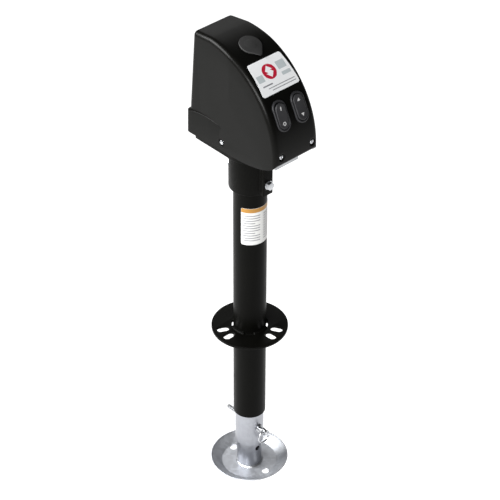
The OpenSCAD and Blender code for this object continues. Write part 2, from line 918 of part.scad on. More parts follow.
// Moulded surround: a round-ended flange on the cover's face, and a box behind it.
module switch_bezel() {
    corner = bezel_w / 2 - 3 * clearance;
    difference() {
        union() {
            pad(bezel_w, bezel_l, corner, seat_z, bezel_h - bezel_step);
            pad(
                bezel_w - 2 * bezel_step, bezel_l - 2 * bezel_step, corner - bezel_step,
                bezel_h - bezel_step, bezel_h
            );
            pad(switch_box[0], switch_box[1], box_corner, switch_body_top, seat_z);
        }
        pad(
            rocker_w + 2 * switch_gap[0], rocker_l + 2 * switch_gap[1], rocker_w / 2,
            well_z, bezel_h + past
        );
        pad(switch_window[0], switch_window[1], box_corner, switch_body_top - past, 0);
        translate([0, 0, rocker_pivot_z]) along_x(switch_pin_r, bezel_w);
    }
}

// Rocker, turned by tilt about its pivot.
module switch_rocker(tilt) {
    corner = rocker_w / 2 - clearance;
    translate([0, 0, rocker_pivot_z]) rotate([tilt, 0, 0]) translate([0, 0, -rocker_pivot_z]) difference() {
        union() {
            pad(rocker_w, rocker_l, corner, rocker_z[0], rocker_z[1]);
            pad(
                rocker_w - 2 * rocker_step, rocker_l - 2 * rocker_step, corner - rocker_step,
                rocker_z[1], rocker_z[2]
            );
            pad(rocker_lug[0], rocker_lug[1], box_corner, rocker_lug[2], rocker_z[0]);
        }
        translate([0, 0, rocker_pivot_z]) along_x(switch_pin_r + clearance, bezel_w);
    }
}

module switch_pin() {
    translate([0, 0, rocker_pivot_z]) along_x(switch_pin_r, switch_box[0]);
}

module switch_body() {
    pad(
        switch_box[0] - 2 * switch_gap[0], switch_box[1] - 2 * switch_gap[1], box_corner,
        switch_body_top - switch_body_l, switch_body_top
    );
}

module power_switch_bezel() {
    color("#333335") at_switch(-1) switch_bezel();
}

module power_switch_rocker() {
    color("#3b3b3e") at_switch(-1) switch_rocker(rocker_tilt);
}

module power_switch_pin() {
    color("#a0a0a0") at_switch(-1) switch_pin();
}

module power_switch_body() {
    color("#222226") at_switch(-1) switch_body();
}

module direction_switch_bezel() {
    color("#333335") at_switch(1) switch_bezel();
}

module direction_switch_rocker() {
    color("#3b3b3e") at_switch(1) switch_rocker(0);
}

module direction_switch_pin() {
    color("#a0a0a0") at_switch(1) switch_pin();
}

module direction_switch_body() {
    color("#222226") at_switch(1) switch_body();
}

module switch_terminals() {
    low = switch_body_top - switch_body_l - terminal_size[2];
    color("#c9a94a") for (side = [-1, 1], y = terminal_y) at_switch(side) {
        translate([-terminal_size[0] / 2, y - terminal_size[1] / 2, low]) cube(terminal_size);
    }
}

// ---------- ram ----------

module ram_tube() {
    color("#b8bac4") difference() {
        translate([0, 0, ram_bottom]) tube(ram_r, ram_inner_r, ram_length);
        translate([0, 0, pin_z]) along_y(pin_r + clearance, -ram_od, ram_od);
    }
}

module ram_nut() {
    color("#a8884a") difference() {
        union() {
            translate([0, 0, ram_top - nut_depth]) cylinder(r = ram_inner_r, h = nut_depth);
            translate([0, 0, ram_top]) cylinder(r = ram_r, h = nut_flange_t);
            translate([0, 0, ram_top + nut_flange_t]) cylinder(r = guide_inner_r, h = guide_h);
        }
        translate([0, 0, ram_top - nut_depth - past]) {
            cylinder(d = screw_d + 2 * clearance, h = nut_depth + nut_flange_t + guide_h + 2 * past);
        }
    }
}

module ram_guide_ring() {
    color("#e6e2d4") translate([0, 0, ram_top + nut_flange_t]) {
        tube(tube_inner_r - clearance, guide_inner_r, guide_h);
    }
}

// ---------- drop leg and foot ----------

module drop_leg() {
    color("#babcc6") difference() {
        translate([0, 0, foot_sheet]) tube(leg_r, leg_inner_r, leg_top - foot_sheet);
        for (k = [0:leg_hole_count - 1]) {
            translate([0, 0, leg_hole_first + k * leg_hole_pitch]) along_y(leg_hole_d / 2, -leg_od, leg_od);
        }
    }
}

// Pressed dish: a flat floor, a flared wall and a rolled rim.
module foot_plate() {
    rim = foot_d / 2;
    roll = foot_height - foot_roll;
    inner = rim - foot_roll;
    color("#b6b8be") difference() {
        rotate_extrude($fn = 96) polygon(concat(
            [[0, 0], [foot_floor_r - foot_roll, 0], [foot_floor_r + foot_roll, foot_roll / 2]],
            [for (a = [-40:25:185]) [inner + foot_roll * cos(a), roll + foot_roll * sin(a)]],
            [[foot_floor_r, foot_sheet + foot_roll / 2], [foot_floor_r - foot_roll, foot_sheet]],
            [[0, foot_sheet]]
        ));
        for (side = [-1, 1]) translate([0, side * foot_hole_spacing / 2, -past]) {
            cylinder(d = foot_hole_d, h = foot_sheet + 2 * past);
        }
    }
}

module foot_weld() {
    color("#9ea0a4") rotate_extrude() polygon([
        [leg_r, foot_sheet], [leg_r + foot_weld_size, foot_sheet], [leg_r, foot_sheet + foot_weld_size]
    ]);
}

// ---------- pull pin ----------

module pull_pin() {
    color("#c4c6cc") translate([0, 0, pin_z]) difference() {
        union() {
            along_y(pin_r, eye_y + eye_r - 2, pin_rear_y - pin_tip);
            translate([0, pin_rear_y - pin_tip, 0]) rotate([-90, 0, 0]) {
                cylinder(r1 = pin_r, r2 = 1.8, h = pin_tip);
            }
            along_y(pin_collar_r, -ram_r - clearance - pin_collar_t, -ram_r - clearance);
            translate([0, eye_y, 0]) along_x(eye_r, eye_t);
        }
        translate([0, eye_y, 0]) along_x(eye_hole_r, 2 * eye_t);
    }
}

module pull_ring() {
    color("#c8cace") translate([0, eye_y, pin_z - ring_r]) rotate([90, 0, 0]) {
        rotate_extrude($fn = 72) translate([ring_r, 0]) circle(r = ring_wire_r, $fn = 20);
    }
}

outer_tube();
mounting_flange();
flange_welds();
tube_label();
gearcase_lower();
neck_bolts();
neck_washers();
gearcase_lid();
gearcase_screws();
thrust_race_lower();
thrust_balls();
thrust_race_upper();
screw_bush();
lid_bush();
lead_screw();
output_gear();
gear_key();
gear_lock_nut();
override_shaft();
override_roll_pin();
motor_gearhead();
motor_can();
motor_end_cap();
motor_terminals();
motor_screws();
motor_pinion();
chassis_plate();
cover();
front_screws();
side_screws();
label_plate();
override_plug();
lead_grommet();
circuit_breaker();
power_switch_bezel();
power_switch_rocker();
power_switch_pin();
power_switch_body();
direction_switch_bezel();
direction_switch_rocker();
direction_switch_pin();
direction_switch_body();
switch_terminals();
ram_tube();
ram_nut();
ram_guide_ring();
drop_leg();
foot_plate();
foot_weld();
pull_pin();
pull_ring();
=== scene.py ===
import json
import math

import bmesh
import bpy
from mathutils import Matrix, Vector


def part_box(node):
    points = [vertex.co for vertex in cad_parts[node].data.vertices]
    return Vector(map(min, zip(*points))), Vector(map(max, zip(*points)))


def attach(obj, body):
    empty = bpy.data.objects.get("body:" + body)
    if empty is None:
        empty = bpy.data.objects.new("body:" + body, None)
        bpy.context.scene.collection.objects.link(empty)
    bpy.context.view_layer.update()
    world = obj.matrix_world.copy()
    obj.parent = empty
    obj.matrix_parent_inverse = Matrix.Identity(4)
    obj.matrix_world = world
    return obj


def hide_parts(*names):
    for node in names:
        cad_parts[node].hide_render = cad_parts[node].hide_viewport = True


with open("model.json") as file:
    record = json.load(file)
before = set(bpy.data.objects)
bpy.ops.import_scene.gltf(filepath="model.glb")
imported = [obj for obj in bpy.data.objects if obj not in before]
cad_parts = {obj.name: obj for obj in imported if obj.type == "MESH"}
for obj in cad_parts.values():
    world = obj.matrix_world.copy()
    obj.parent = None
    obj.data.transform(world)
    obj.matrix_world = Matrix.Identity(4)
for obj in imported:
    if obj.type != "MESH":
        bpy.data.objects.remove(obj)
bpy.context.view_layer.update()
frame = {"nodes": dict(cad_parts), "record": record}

# Every shape below is made in millimetres, in the part's own frame: +Z up, the switches face -Y.
MM = 0.001
TAU = 2 * math.pi


def low(node, axis):
    """A CAD node's lowest coordinate along an axis (0, 1 or 2), in millimetres."""
    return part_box(node)[0][axis] / MM


def high(node, axis):
    """A CAD node's highest coordinate along an axis, in millimetres."""
    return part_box(node)[1][axis] / MM


# ---------- sizes and places from the frame ----------

TUBE_R = high("outer_tube", 0)
TUBE_LOW = low("outer_tube", 2)
TUBE_HIGH = high("outer_tube", 2)
RAM_R = high("ram_tube", 0)
RAM_LOW = low("ram_tube", 2)
LEG_R = high("drop_leg", 0)
LEG_HIGH = high("drop_leg", 2)
FLANGE_R = high("mounting_flange", 0)
FLANGE_LOW = low("mounting_flange", 2)
FLANGE_HIGH = high("mounting_flange", 2)
FOOT_R = high("foot_plate", 0)
FOOT_HIGH = high("foot_plate", 2)
FOOT_SHEET = low("drop_leg", 2)
NECK_LOW = low("gearcase_lower", 2)
CASE_TOP = high("gearcase_lower", 2)
CASE_HALF = high("gearcase_lower", 0)
CASE_REAR = high("gearcase_lower", 1)
COVER_TOP = high("cover", 2)
PIN_REAR = high("pull_pin", 1)
PIN_Z = (high("pull_pin", 2) + low("pull_pin", 2)) / 2
LABEL_LOW = low("tube_label", 2)
LABEL_HIGH = high("tube_label", 2)
NECK_BOLT_Z = (low("neck_bolts", 2) + high("neck_bolts", 2)) / 2

# The cover's face is one arc, seen from the side.
FACE_R = 159.6
FACE_Y = low("cover", 1) + FACE_R
FACE_Z = COVER_TOP - FACE_R
SWITCH_ANGLE = 27
LABEL_ANGLE = 50.4
PLUG_ANGLE = 72
SWITCH_X = (high("direction_switch_pin", 0) + low("direction_switch_pin", 0)) / 2


# ---------- outlines ----------

def arc(cx, cy, radius, start, end, steps):
    """Points on an arc from start to end, in degrees."""
    turns = [math.radians(start + (end - start) * k / steps) for k in range(steps + 1)]
    return [(cx + radius * math.cos(a), cy + radius * math.sin(a)) for a in turns]


def quarter(steps):
    """The angles of a quarter turn in equal steps, in radians."""
    return [math.pi / 2 * k / steps for k in range(steps + 1)]


def circle(radius, steps, cx=0, cy=0):
    turns = [TAU * k / steps for k in range(steps)]
    return [(cx + radius * math.cos(a), cy + radius * math.sin(a)) for a in turns]


def rounded(corners, steps=6):
    """A closed outline with each corner (x, y, radius) rounded by an arc."""
    out = []
    count = len(corners)
    for k, (x, y, radius) in enumerate(corners):
        if radius <= 0:
            out.append((x, y))
            continue
        here = Vector((x, y))
        before = (Vector(corners[k - 1][:2]) - here).normalized()
        after = (Vector(corners[(k + 1) % count][:2]) - here).normalized()
        half = before.angle(after) / 2
        centre = here + (before + after).normalized() * (radius / math.sin(half))
        first = here + before * (radius / math.tan(half)) - centre
        sweep = math.pi - 2 * half
        if first.x * (-before).y - first.y * (-before).x < 0:
            sweep = -sweep
        for j in range(steps + 1):
            a = sweep * j / steps
            across = first.x * math.cos(a) - first.y * math.sin(a)
            along = first.x * math.sin(a) + first.y * math.cos(a)
            out.append((centre.x + across, centre.y + along))
    return out


def stadium(width, length, steps=16):
    """A round-ended outline, longer along Y."""
    r = width / 2
    reach = (length - width) / 2
    return arc(0, reach, r, 0, 180, steps) + arc(0, -reach, r, 180, 360, steps)


def rectangle(x0, y0, x1, y1, radius=0):
    return rounded([(x0, y0, radius), (x1, y0, radius), (x1, y1, radius), (x0, y1, radius)], 5)


# ---------- meshes ----------

def new_object(name, bm):
    """An object from a bmesh in millimetres. Its faces point outwards."""
    bmesh.ops.remove_doubles(bm, verts=bm.verts, dist=1e-4)
    bmesh.ops.dissolve_degenerate(bm, dist=1e-5, edges=bm.edges)
    bmesh.ops.recalc_face_normals(bm, faces=bm.faces)
    bm.transform(Matrix.Scale(MM, 4))
    mesh = bpy.data.meshes.new(name)
    bm.to_mesh(mesh)
    bm.free()
    made = bpy.data.objects.new(name, mesh)
    bpy.context.scene.collection.objects.link(made)
    return made


def skin(rings, close_ends=True, loop=False):
    """A surface through rings of equally many points. Each ring is closed. A ring may be a single point."""
    bm = bmesh.new()
    made = [[bm.verts.new(p) for p in ring] for ring in rings]
    pairs = list(zip(made, made[1:])) + ([(made[-1], made[0])] if loop else [])
    for one, two in pairs:
        count = max(len(one), len(two))
        for k in range(count):
            j = (k + 1) % count
            corners = [one[k % len(one)], one[j % len(one)], two[j % len(two)], two[k % len(two)]]
            corners = list(dict.fromkeys(corners))
            if len(corners) > 2:
                bm.faces.new(corners)
    if close_ends and not loop:
        for ring in (made[0], made[-1]):
            if len(ring) > 2:
                bm.faces.new(ring)
    return bm


def lathe(profile, steps=128, loop=True):
    """A turned solid about Z. The (radius, height) points close on themselves, or run from axis to axis."""
    rings = []
    for radius, z in profile:
        if radius < 1e-6:
            rings.append([(0, 0, z)])
        else:
            rings.append([(x, y, z) for x, y in circle(radius, steps)])
    return skin(rings, close_ends=False, loop=loop)


def plate(loops, z0, z1, bevel=0.0):
    """A flat plate from outlines, the first one outside and the others holes, with bevelled edges."""
    data = bpy.data.curves.new("plate", "CURVE")
    data.dimensions = "2D"
    data.fill_mode = "BOTH"
    data.extrude = (z1 - z0) / 2 - bevel
    data.bevel_depth = bevel
    data.bevel_resolution = 2
    data.offset = -bevel
    for outline in loops:
        spline = data.splines.new("POLY")
        spline.points.add(len(outline) - 1)
        for point, (x, y) in zip(spline.points, outline):
            point.co = (x, y, 0, 1)
        spline.use_cyclic_u = True
    holder = bpy.data.objects.new("plate", data)
    mesh = bpy.data.meshes.new_from_object(holder)
    bm = bmesh.new()
    bm.from_mesh(mesh)
    bpy.data.objects.remove(holder)
    bpy.data.meshes.remove(mesh)
    bmesh.ops.translate(bm, verts=bm.verts, vec=(0, 0, (z0 + z1) / 2))
    return bm


def turned(bm, matrix):
    bm.transform(matrix)
    return bm


def joined(*parts):
    """Several bmeshes as one."""
    whole = bmesh.new()
    for bm in parts:
        mesh = bpy.data.meshes.new("part")
        bm.to_mesh(mesh)
        bm.free()
        whole.from_mesh(mesh)
        bpy.data.meshes.remove(mesh)
    return whole


def combine(target, tool, operation):
    """Applies a Boolean to target and removes the tool."""
    step = target.modifiers.new("combine", "BOOLEAN")
    step.operation = operation
    step.solver = "EXACT"
    step.object = tool
    apply_modifiers(target)
    bpy.data.objects.remove(tool)
    return target


def apply_modifiers(obj):
    graph = bpy.context.evaluated_depsgraph_get()
    mesh = bpy.data.meshes.new_from_object(obj.evaluated_get(graph))
    obj.modifiers.clear()
    old = obj.data
    obj.data = mesh
    bpy.data.meshes.remove(old)


def cut(target, *bms):
    for bm in bms:
        combine(target, new_object("tool", bm), "DIFFERENCE")
    return target


def add(target, *bms):
    for bm in bms:
        combine(target, new_object("tool", bm), "UNION")
    return target


def piece(made, name, slot, body, *replaced, angle=38):
    """Names an object or bmesh, smooths it up to the angle, gives it its slot's material, puts it on its body
    and hides the CAD nodes it replaces.
    """
    obj = new_object(name, made) if isinstance(made, bmesh.types.BMesh) else made
    obj.name = name
    obj.data.name = name
    mesh = obj.data
    mesh.materials.clear()
    mesh.materials.append(MATERIALS[slot])
    for face in mesh.polygons:
        face.use_smooth = True
        face.material_index = 0
    mesh.set_sharp_from_angle(angle=math.radians(angle))
    for edge in mesh.edges:
        edge.use_edge_sharp = edge.use_edge_sharp or edge.use_seam
    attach(obj, body)
    if replaced:
        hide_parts(*replaced)
    return obj


# ---------- frames on the object ----------

def face_matrix(angle, x=0.0):
    """From a local frame on the cover's face to the part: +Z is the outward normal, +Y runs up the face."""
    return (
        Matrix.Translation((x, FACE_Y, FACE_Z))
        @ Matrix.Rotation(math.radians(90 - angle), 4, "X")
        @ Matrix.Translation((0, 0, FACE_R))
    )


def along_y(y, x=0.0, z=0.0, forward=False):
    """From a local frame to the part: local +Z is +Y, or -Y when forward."""
    turn = 90 if forward else -90
    return Matrix.Translation((x, y, z)) @ Matrix.Rotation(math.radians(turn), 4, "X")


def along_x(x, y, z, side=1):
    """From a local frame to the part: local +Z is +X for side 1 and -X for side -1."""
    return Matrix.Translation((x, y, z)) @ Matrix.Rotation(math.radians(90 * side), 4, "Y")


# ---------- materials ----------

class Look:
    """A node material under construction. Textures use the object's own coordinates, in metres."""

    def __init__(self, name):
        self.material = bpy.data.materials.new(name)
        self.material.use_nodes = True
        self.tree = self.material.node_tree
        self.shader = self.tree.nodes["Principled BSDF"]
        self.place = self.tree.nodes.new("ShaderNodeTexCoord").outputs["Object"]
        self.normal = None

    def link(self, value, socket):
        if isinstance(value, bpy.types.NodeSocket):
            self.tree.links.new(value, socket)
        else:
            socket.default_value = value

    def node(self, kind, inputs=None, **settings):
        made = self.tree.nodes.new(kind)
        for key, value in settings.items():
            setattr(made, key, value)
        for key, value in (inputs or {}).items():
            self.link(value, made.inputs[key])
        return made

    def stretched(self, scale):
        return self.node("ShaderNodeMapping", {"Vector": self.place, "Scale": scale}).outputs["Vector"]

    def noise(self, per_metre, detail=3.0, rough=0.5, stretch=(1, 1, 1)):
        inputs = {"Vector": self.stretched(stretch), "Scale": per_metre, "Detail": detail, "Roughness": rough}
        return self.node("ShaderNodeTexNoise", inputs).outputs["Fac"]

    def cells(self, per_metre):
        inputs = {"Vector": self.stretched((1, 1, 1)), "Scale": per_metre}
        return self.node("ShaderNodeTexVoronoi", inputs).outputs["Color"]

    def between(self, value, low_in, high_in, low_out, high_out):
        inputs = {
            "Value": value, "From Min": low_in, "From Max": high_in, "To Min": low_out, "To Max": high_out,
        }
        return self.node("ShaderNodeMapRange", inputs).outputs["Result"]

    def math(self, operation, a, b):
        made = self.node("ShaderNodeMath", operation=operation)
        self.link(a, made.inputs[0])
        self.link(b, made.inputs[1])
        return made.outputs[0]

    def mix(self, factor, a, b):
        made = self.node("ShaderNodeMix", data_type="RGBA")
        self.link(factor, made.inputs["Factor"])
        self.link(a if isinstance(a, bpy.types.NodeSocket) else (*a, 1), made.inputs["A"])
        self.link(b if isinstance(b, bpy.types.NodeSocket) else (*b, 1), made.inputs["B"])
        return made.outputs["Result"]

    def bump(self, height, strength, distance_mm):
        inputs = {"Height": height, "Strength": strength, "Distance": distance_mm * MM}
        if self.normal is not None:
            inputs["Normal"] = self.normal
        self.normal = self.node("ShaderNodeBump", inputs).outputs["Normal"]

    def finish(self, colour, roughness, metallic=0.0, **more):
        painted = colour if isinstance(colour, bpy.types.NodeSocket) else (*colour, 1)
        self.link(painted, self.shader.inputs["Base Color"])
        self.link(roughness, self.shader.inputs["Roughness"])
        self.link(metallic, self.shader.inputs["Metallic"])
        for key, value in more.items():
            self.link(value, self.shader.inputs[key.replace("_", " ")])
        if self.normal is not None:
            self.link(self.normal, self.shader.inputs["Normal"])
        return self.material


def scaled(colour, factor):
    return tuple(min(1.0, c * factor) for c in colour)


def moulded_plastic(name, colour, rough, grain=0.10, specular=0.5):
    """Black or dark plastic with a fine spark-eroded grain and faint cloudiness in its gloss."""
    look = Look(name)
    cloud = look.noise(28, 2)
    look.bump(look.noise(2600, 2, 0.6), grain, 0.05)
    tone = look.mix(cloud, scaled(colour, 0.85), scaled(colour, 1.15))
    shine = look.between(cloud, 0.3, 0.7, rough - 0.03, rough + 0.04)
    return look.finish(tone, shine, Specular_IOR_Level=specular)


def powder_coat(name, colour, rough, peel=0.22, specular=0.5):
    """Baked powder paint: orange peel about a millimetre across, and pores."""
    look = Look(name)
    look.bump(look.noise(850, 2, 0.4), peel, 0.12)
    look.bump(look.noise(3200, 1, 0.5), peel / 2, 0.03)
    cloud = look.noise(35, 3)
    tone = look.mix(cloud, scaled(colour, 0.8), scaled(colour, 1.2))
    shine = look.between(cloud, 0.3, 0.7, rough - 0.03, rough + 0.05)
    return look.finish(tone, shine, Specular_IOR_Level=specular)


def cast_paint(name, colour, rough, specular=0.5):
    """Paint over a sand-cast skin."""
    look = Look(name)
    look.bump(look.noise(420, 4, 0.6), 0.45, 0.25)
    look.bump(look.noise(1500, 2, 0.5), 0.2, 0.08)
    tone = look.mix(look.noise(120, 3), scaled(colour, 0.75), scaled(colour, 1.3))
    shine = look.between(look.noise(300, 2), 0.3, 0.7, rough - 0.05, rough + 0.08)
    return look.finish(tone, shine, Specular_IOR_Level=specular)


def zinc(name, colour, rough, spangle=110, drawn=(1, 1, 1), contrast=0.10, metallic=1.0):
    """Zinc-plated steel: crystals that differ a little in brightness, fine draw marks, duller patches."""
    look = Look(name)
    crystal = look.node("ShaderNodeSeparateColor", {"Color": look.cells(spangle)}).outputs["Red"]
    marks = look.noise(700, 3, 0.6, drawn)
    patches = look.noise(22, 4, 0.6)
    bright = look.mix(crystal, scaled(colour, 1 - contrast), scaled(colour, 1 + contrast))
    tone = look.mix(look.between(patches, 0.52, 0.75, 0, 0.35), bright, scaled(colour, 0.7))
    grain = look.between(crystal, 0, 1, rough - 0.05, rough + 0.05)
    shine = look.math("ADD", grain, look.between(marks, 0.3, 0.7, -0.05, 0.07))
    look.bump(marks, 0.10, 0.02)
    look.bump(look.noise(160, 2), 0.05, 0.15)
    return look.finish(tone, shine, metallic)


def plated(name, colour, rough):
    """Bright plated hardware with light tool marks."""
    look = Look(name)
    marks = look.noise(1400, 2, 0.6)
    look.bump(marks, 0.08, 0.02)
    tone = look.mix(look.noise(200, 2), scaled(colour, 0.88), scaled(colour, 1.08))
    return look.finish(tone, look.between(marks, 0.3, 0.7, rough - 0.03, rough + 0.08), 1.0)


def machined(name, colour, rough):
    """Turned steel or bronze, with tool marks across the axis."""
    look = Look(name)
    marks = look.noise(90, 3, 0.6, (1, 1, 40))
    look.bump(marks, 0.12, 0.03)
    tone = look.mix(marks, scaled(colour, 0.85), scaled(colour, 1.1))
    return look.finish(tone, look.between(marks, 0.3, 0.7, rough - 0.04, rough + 0.08), 1.0)


def rubber(name, colour, rough):
    """Moulded rubber: matt, with a fine skin and a little bloom."""
    look = Look(name)
    look.bump(look.noise(1900, 2, 0.6), 0.18, 0.05)
    bloom = look.noise(60, 3)
    tone = look.mix(look.between(bloom, 0.45, 0.8, 0, 0.5), colour, scaled(colour, 1.35))
    shine = look.between(bloom, 0.3, 0.7, rough - 0.04, rough + 0.06)
    return look.finish(tone, shine, Specular_IOR_Level=0.42)


def printed(name, colour, rough=0.30):
    """Ink or film on a label, with the faint unevenness of print."""
    look = Look(name)
    fleck = look.noise(2200, 2)
    look.bump(look.noise(240, 2), 0.03, 0.1)
    tone = look.mix(fleck, scaled(colour, 0.94), scaled(colour, 1.04))
    return look.finish(tone, look.between(fleck, 0.3, 0.7, rough - 0.03, rough + 0.04))


def pale_floor():
    """The top of a light table: pale, and glowing enough to wash out shadows."""
    look = Look("light_table")
    fibre = look.noise(40, 3)
    tone = look.mix(fibre, (0.48, 0.48, 0.48), (0.52, 0.52, 0.52))
    glow = {"Emission_Color": (1, 1, 1, 1), "Emission_Strength": 0.8}
    return look.finish(tone, 0.85, Specular_IOR_Level=0.1, **glow)


# The maker of each slot's material, its colour, its roughness and what else the maker takes.
LOOKS = {
    "black_cover": (moulded_plastic, (0.0020, 0.0020, 0.0016), 0.31, 0.10, 0.10),
    "black_powder_coat": (powder_coat, (0.0022, 0.0022, 0.0018), 0.34, 0.22, 0.045),
    "black_casting": (cast_paint, (0.0022, 0.0022, 0.0018), 0.38, 0.04),
    "printed_label": (printed, (0.63, 0.63, 0.615)),
    "face_label": (printed, (0.80, 0.81, 0.82)),
    "rubber_plug": (rubber, (0.017, 0.017, 0.017), 0.62),
    "rubber_grommet": (rubber, (0.018, 0.018, 0.018), 0.60),
    "switch_frame": (moulded_plastic, (0.016, 0.016, 0.018), 0.44, 0.12, 0.4),
    "switch_rubber": (rubber, (0.019, 0.019, 0.021), 0.50),
    "switch_body": (moulded_plastic, (0.016, 0.016, 0.018), 0.45, 0.10),
    "terminal_brass": (plated, (0.72, 0.52, 0.22), 0.30),
    "bright_zinc": (plated, (0.55, 0.56, 0.58), 0.22),
    "steel": (machined, (0.50, 0.51, 0.53), 0.30),
    "bronze": (machined, (0.55, 0.38, 0.16), 0.33),
    "motor_paint": (powder_coat, (0.030, 0.032, 0.036), 0.38, 0.12),
    "gearhead_alloy": (cast_paint, (0.42, 0.42, 0.43), 0.45),
    "galvanised_plate": (zinc, (0.44, 0.45, 0.465), 0.34),
    "zinc_tube": (zinc, (0.36, 0.37, 0.40), 0.36, 160, (1, 1, 0.06), 0.06),
    "zinc_foot": (zinc, (0.50, 0.515, 0.545), 0.50, 150, (1, 1, 1), 0.12, 0.75),
    "nylon": (moulded_plastic, (0.72, 0.70, 0.62), 0.42, 0.08),
    "pin_steel": (plated, (0.52, 0.53, 0.55), 0.24),
    "ink_red": (printed, (0.45, 0.008, 0.032)),
    "ink_grey": (printed, (0.22, 0.225, 0.24)),
    "ink_pale": (printed, (0.46, 0.505, 0.52)),
    "ink_orange": (printed, (0.36, 0.17, 0.02)),
    "ink_line": (printed, (0.24, 0.24, 0.255)),
    "mark_white": (printed, (0.56, 0.56, 0.56), 0.5),
}
MATERIALS = {name: make(name, *settings) for name, (make, *settings) in LOOKS.items()}


def dress_cad_nodes():
    """Gives every CAD node the material of its slot in the record."""
    for entry in frame["record"]["subparts"]:
        mesh = frame["nodes"][entry["node"]].data
        mesh.materials.clear()
        mesh.materials.append(MATERIALS[entry["material_slot"]])


dress_cad_nodes()


# ---------- cover ----------

WALL = 3.0
COVER_EDGE = 9.0
COVER_LOW = low("cover", 2)
# Half width at the lower edge, and how much it loses up to the top, to the rear and to the nose
COVER_HALF = 50.0
COVER_LEAN = 4.0
COVER_TAPER = 5.0
COVER_NOSE = 3.5
NOSE_REACH = 109.0
COVER_HEIGHT = 190.0
COVER_RISE = 31.0
COVER_SWEEP = 108.0
REAR_TOP = (92.0, 886.0)
REAR_LOW = (98.0, 690.0)
COVER_MIDDLE = 790.0
BULGE_TOP = 745.0
BULGE_ARCH = 52.0
BULGE_ARCH_R = 157.0
BULGE_REAR = high("cover", 1)
BULGE_HALF = high("cover", 0)
BULGE_ROUND = 1.6
BULGE_SINK = 0.35
# What the bulge gains upwards, against the lean of the side
BULGE_UPRIGHT = 4.5
SEAM_ANGLE = math.radians(4)
SIDE_SCREW = (16.0, 712.4)
SIDE_SEAT = 47.4
FRONT_SCREW = (33.3, 738.5)
FRONT_SEAT = -106.6
SEAT_R = 6.0
SEAT_FLARE = 1.5
SCREW_HOLE_R = 2.3
POST_R = 8.5
FRONT_POST_L = 5.5
SIDE_POST_L = 6.6
CHASSIS_FRONT = low("chassis_plate", 1)
BEZEL_W = 27.0
BEZEL_L = 52.0
BEZEL_H = 2.4
SEAT_Z = -2.8
WELL_Z = -2.2
ROCKER_W = 19.8
ROCKER_L = 43.0
ROCKER_TOP = 4.4
PIVOT_Z = -6.0
POWER_TILT = 5.0
PLUG_R = 19.0
PLUG_SEAT = -1.4
PLUG_NECK_R = 13.7
PLUG_GAP = 0.2
GROMMET = (20.0, 712.0)
GROMMET_HOLE_R = 6
# The rounded mouth of a recess in the cover: how deep it starts and how wide it opens
MOUTH_DEPTH = 0.4
MOUTH_WIDTH = 0.3

# Turns a shape drawn as seen from the side into the part's frame: drawn x is Y, drawn y is Z, height is X.
FROM_SIDE = Matrix(((0, 0, 1, 0), (1, 0, 0, 0), (0, 1, 0, 0), (0, 0, 0, 1)))


def cover_half_width(y, z):
    """Half width of the cover at a point of its side."""
    up = (z - COVER_LOW) / COVER_HEIGHT
    nose = COVER_NOSE * (y / NOSE_REACH) ** 2 * (1 - up) if y < 0 else 0
    return COVER_HALF - COVER_LEAN * up - COVER_TAPER * up * max(0, y / REAR_TOP[0]) - nose


def cover_edge_line():
    """The centre line of the cover's rounded edge, from the side: (y, z, angle of the normal in radians)."""
    radius = FACE_R - COVER_EDGE
    top = (REAR_TOP[0] - COVER_EDGE, REAR_TOP[1] - COVER_EDGE)
    bottom = (REAR_LOW[0] - COVER_EDGE, REAR_LOW[1])
    top_normal = math.pi / 2 + math.atan2(top[1] - FACE_Z - radius, top[0] - FACE_Y)
    rear_normal = math.atan2(bottom[0] - top[0], top[1] - bottom[1])
    line = [(FACE_Y - radius, REAR_LOW[1], -math.pi / 2 * (1 + k / 9)) for k in range(10)]
    for turn in quarter(45):
        a = math.pi - turn
        line.append((FACE_Y + radius * math.cos(a), FACE_Z + radius * math.sin(a), a))
    line += [(*top, top_normal + (rear_normal - top_normal) * k / 9) for k in range(10)]
    line += [(*bottom, rear_normal - (rear_normal + math.pi / 2) * k / 9) for k in range(10)]
    return line


def cover_side_rings(line, side, wall):
    """Rings over one side of the cover, from the middle of its flat out and round the edge."""
    rings = [[(side * (cover_half_width(0, COVER_MIDDLE) - wall), 0, COVER_MIDDLE)]]
    for share in (0.15, 0.4, 0.7):
        ring = []
        for y, z, _ in line:
            at = (y * share, COVER_MIDDLE + (z - COVER_MIDDLE) * share)
            ring.append((side * (cover_half_width(*at) - wall), *at))
        rings.append(ring)
    radius = COVER_EDGE - wall
    for k in range(10):
        b = math.pi / 2 * (1 - k / 9)
        ring = []
        for y, z, a in line:
            x = side * (cover_half_width(y, z) - COVER_EDGE + radius * math.sin(b))
            out = radius * math.cos(b)
            ring.append((x, y + out * math.cos(a), z + out * math.sin(a)))
        rings.append(ring)
    return rings


def cover_block(wall):
    """The cover's rounded block, smaller by a wall all round."""
    line = cover_edge_line()
    rings = cover_side_rings(line, -1, wall)
    edge = rings[-1]
    rings += [[(x * t, y, z) for x, y, z in edge] for t in (0.75, 0.5, 0.25, 0, -0.25, -0.5, -0.75)]
    rings += cover_side_rings(line, 1, wall)[::-1]
    bm = skin(rings, close_ends=False)
    bmesh.ops.triangulate(bm, faces=bm.faces)
    return bm


def cover_side(y, z):
    """Half width on the flat of the side. Below its middle it runs straight from the face to the rear."""
    share = (COVER_MIDDLE - z) / (COVER_MIDDLE - REAR_LOW[1])
    front = (FACE_Y - FACE_R + COVER_EDGE) * share
    rear = (REAR_LOW[0] - COVER_EDGE) * share
    if not front < y < rear:
        return cover_half_width(y, z)
    along = (y - front) / (rear - front)
    return (1 - along) * cover_half_width(front, z) + along * cover_half_width(rear, z)


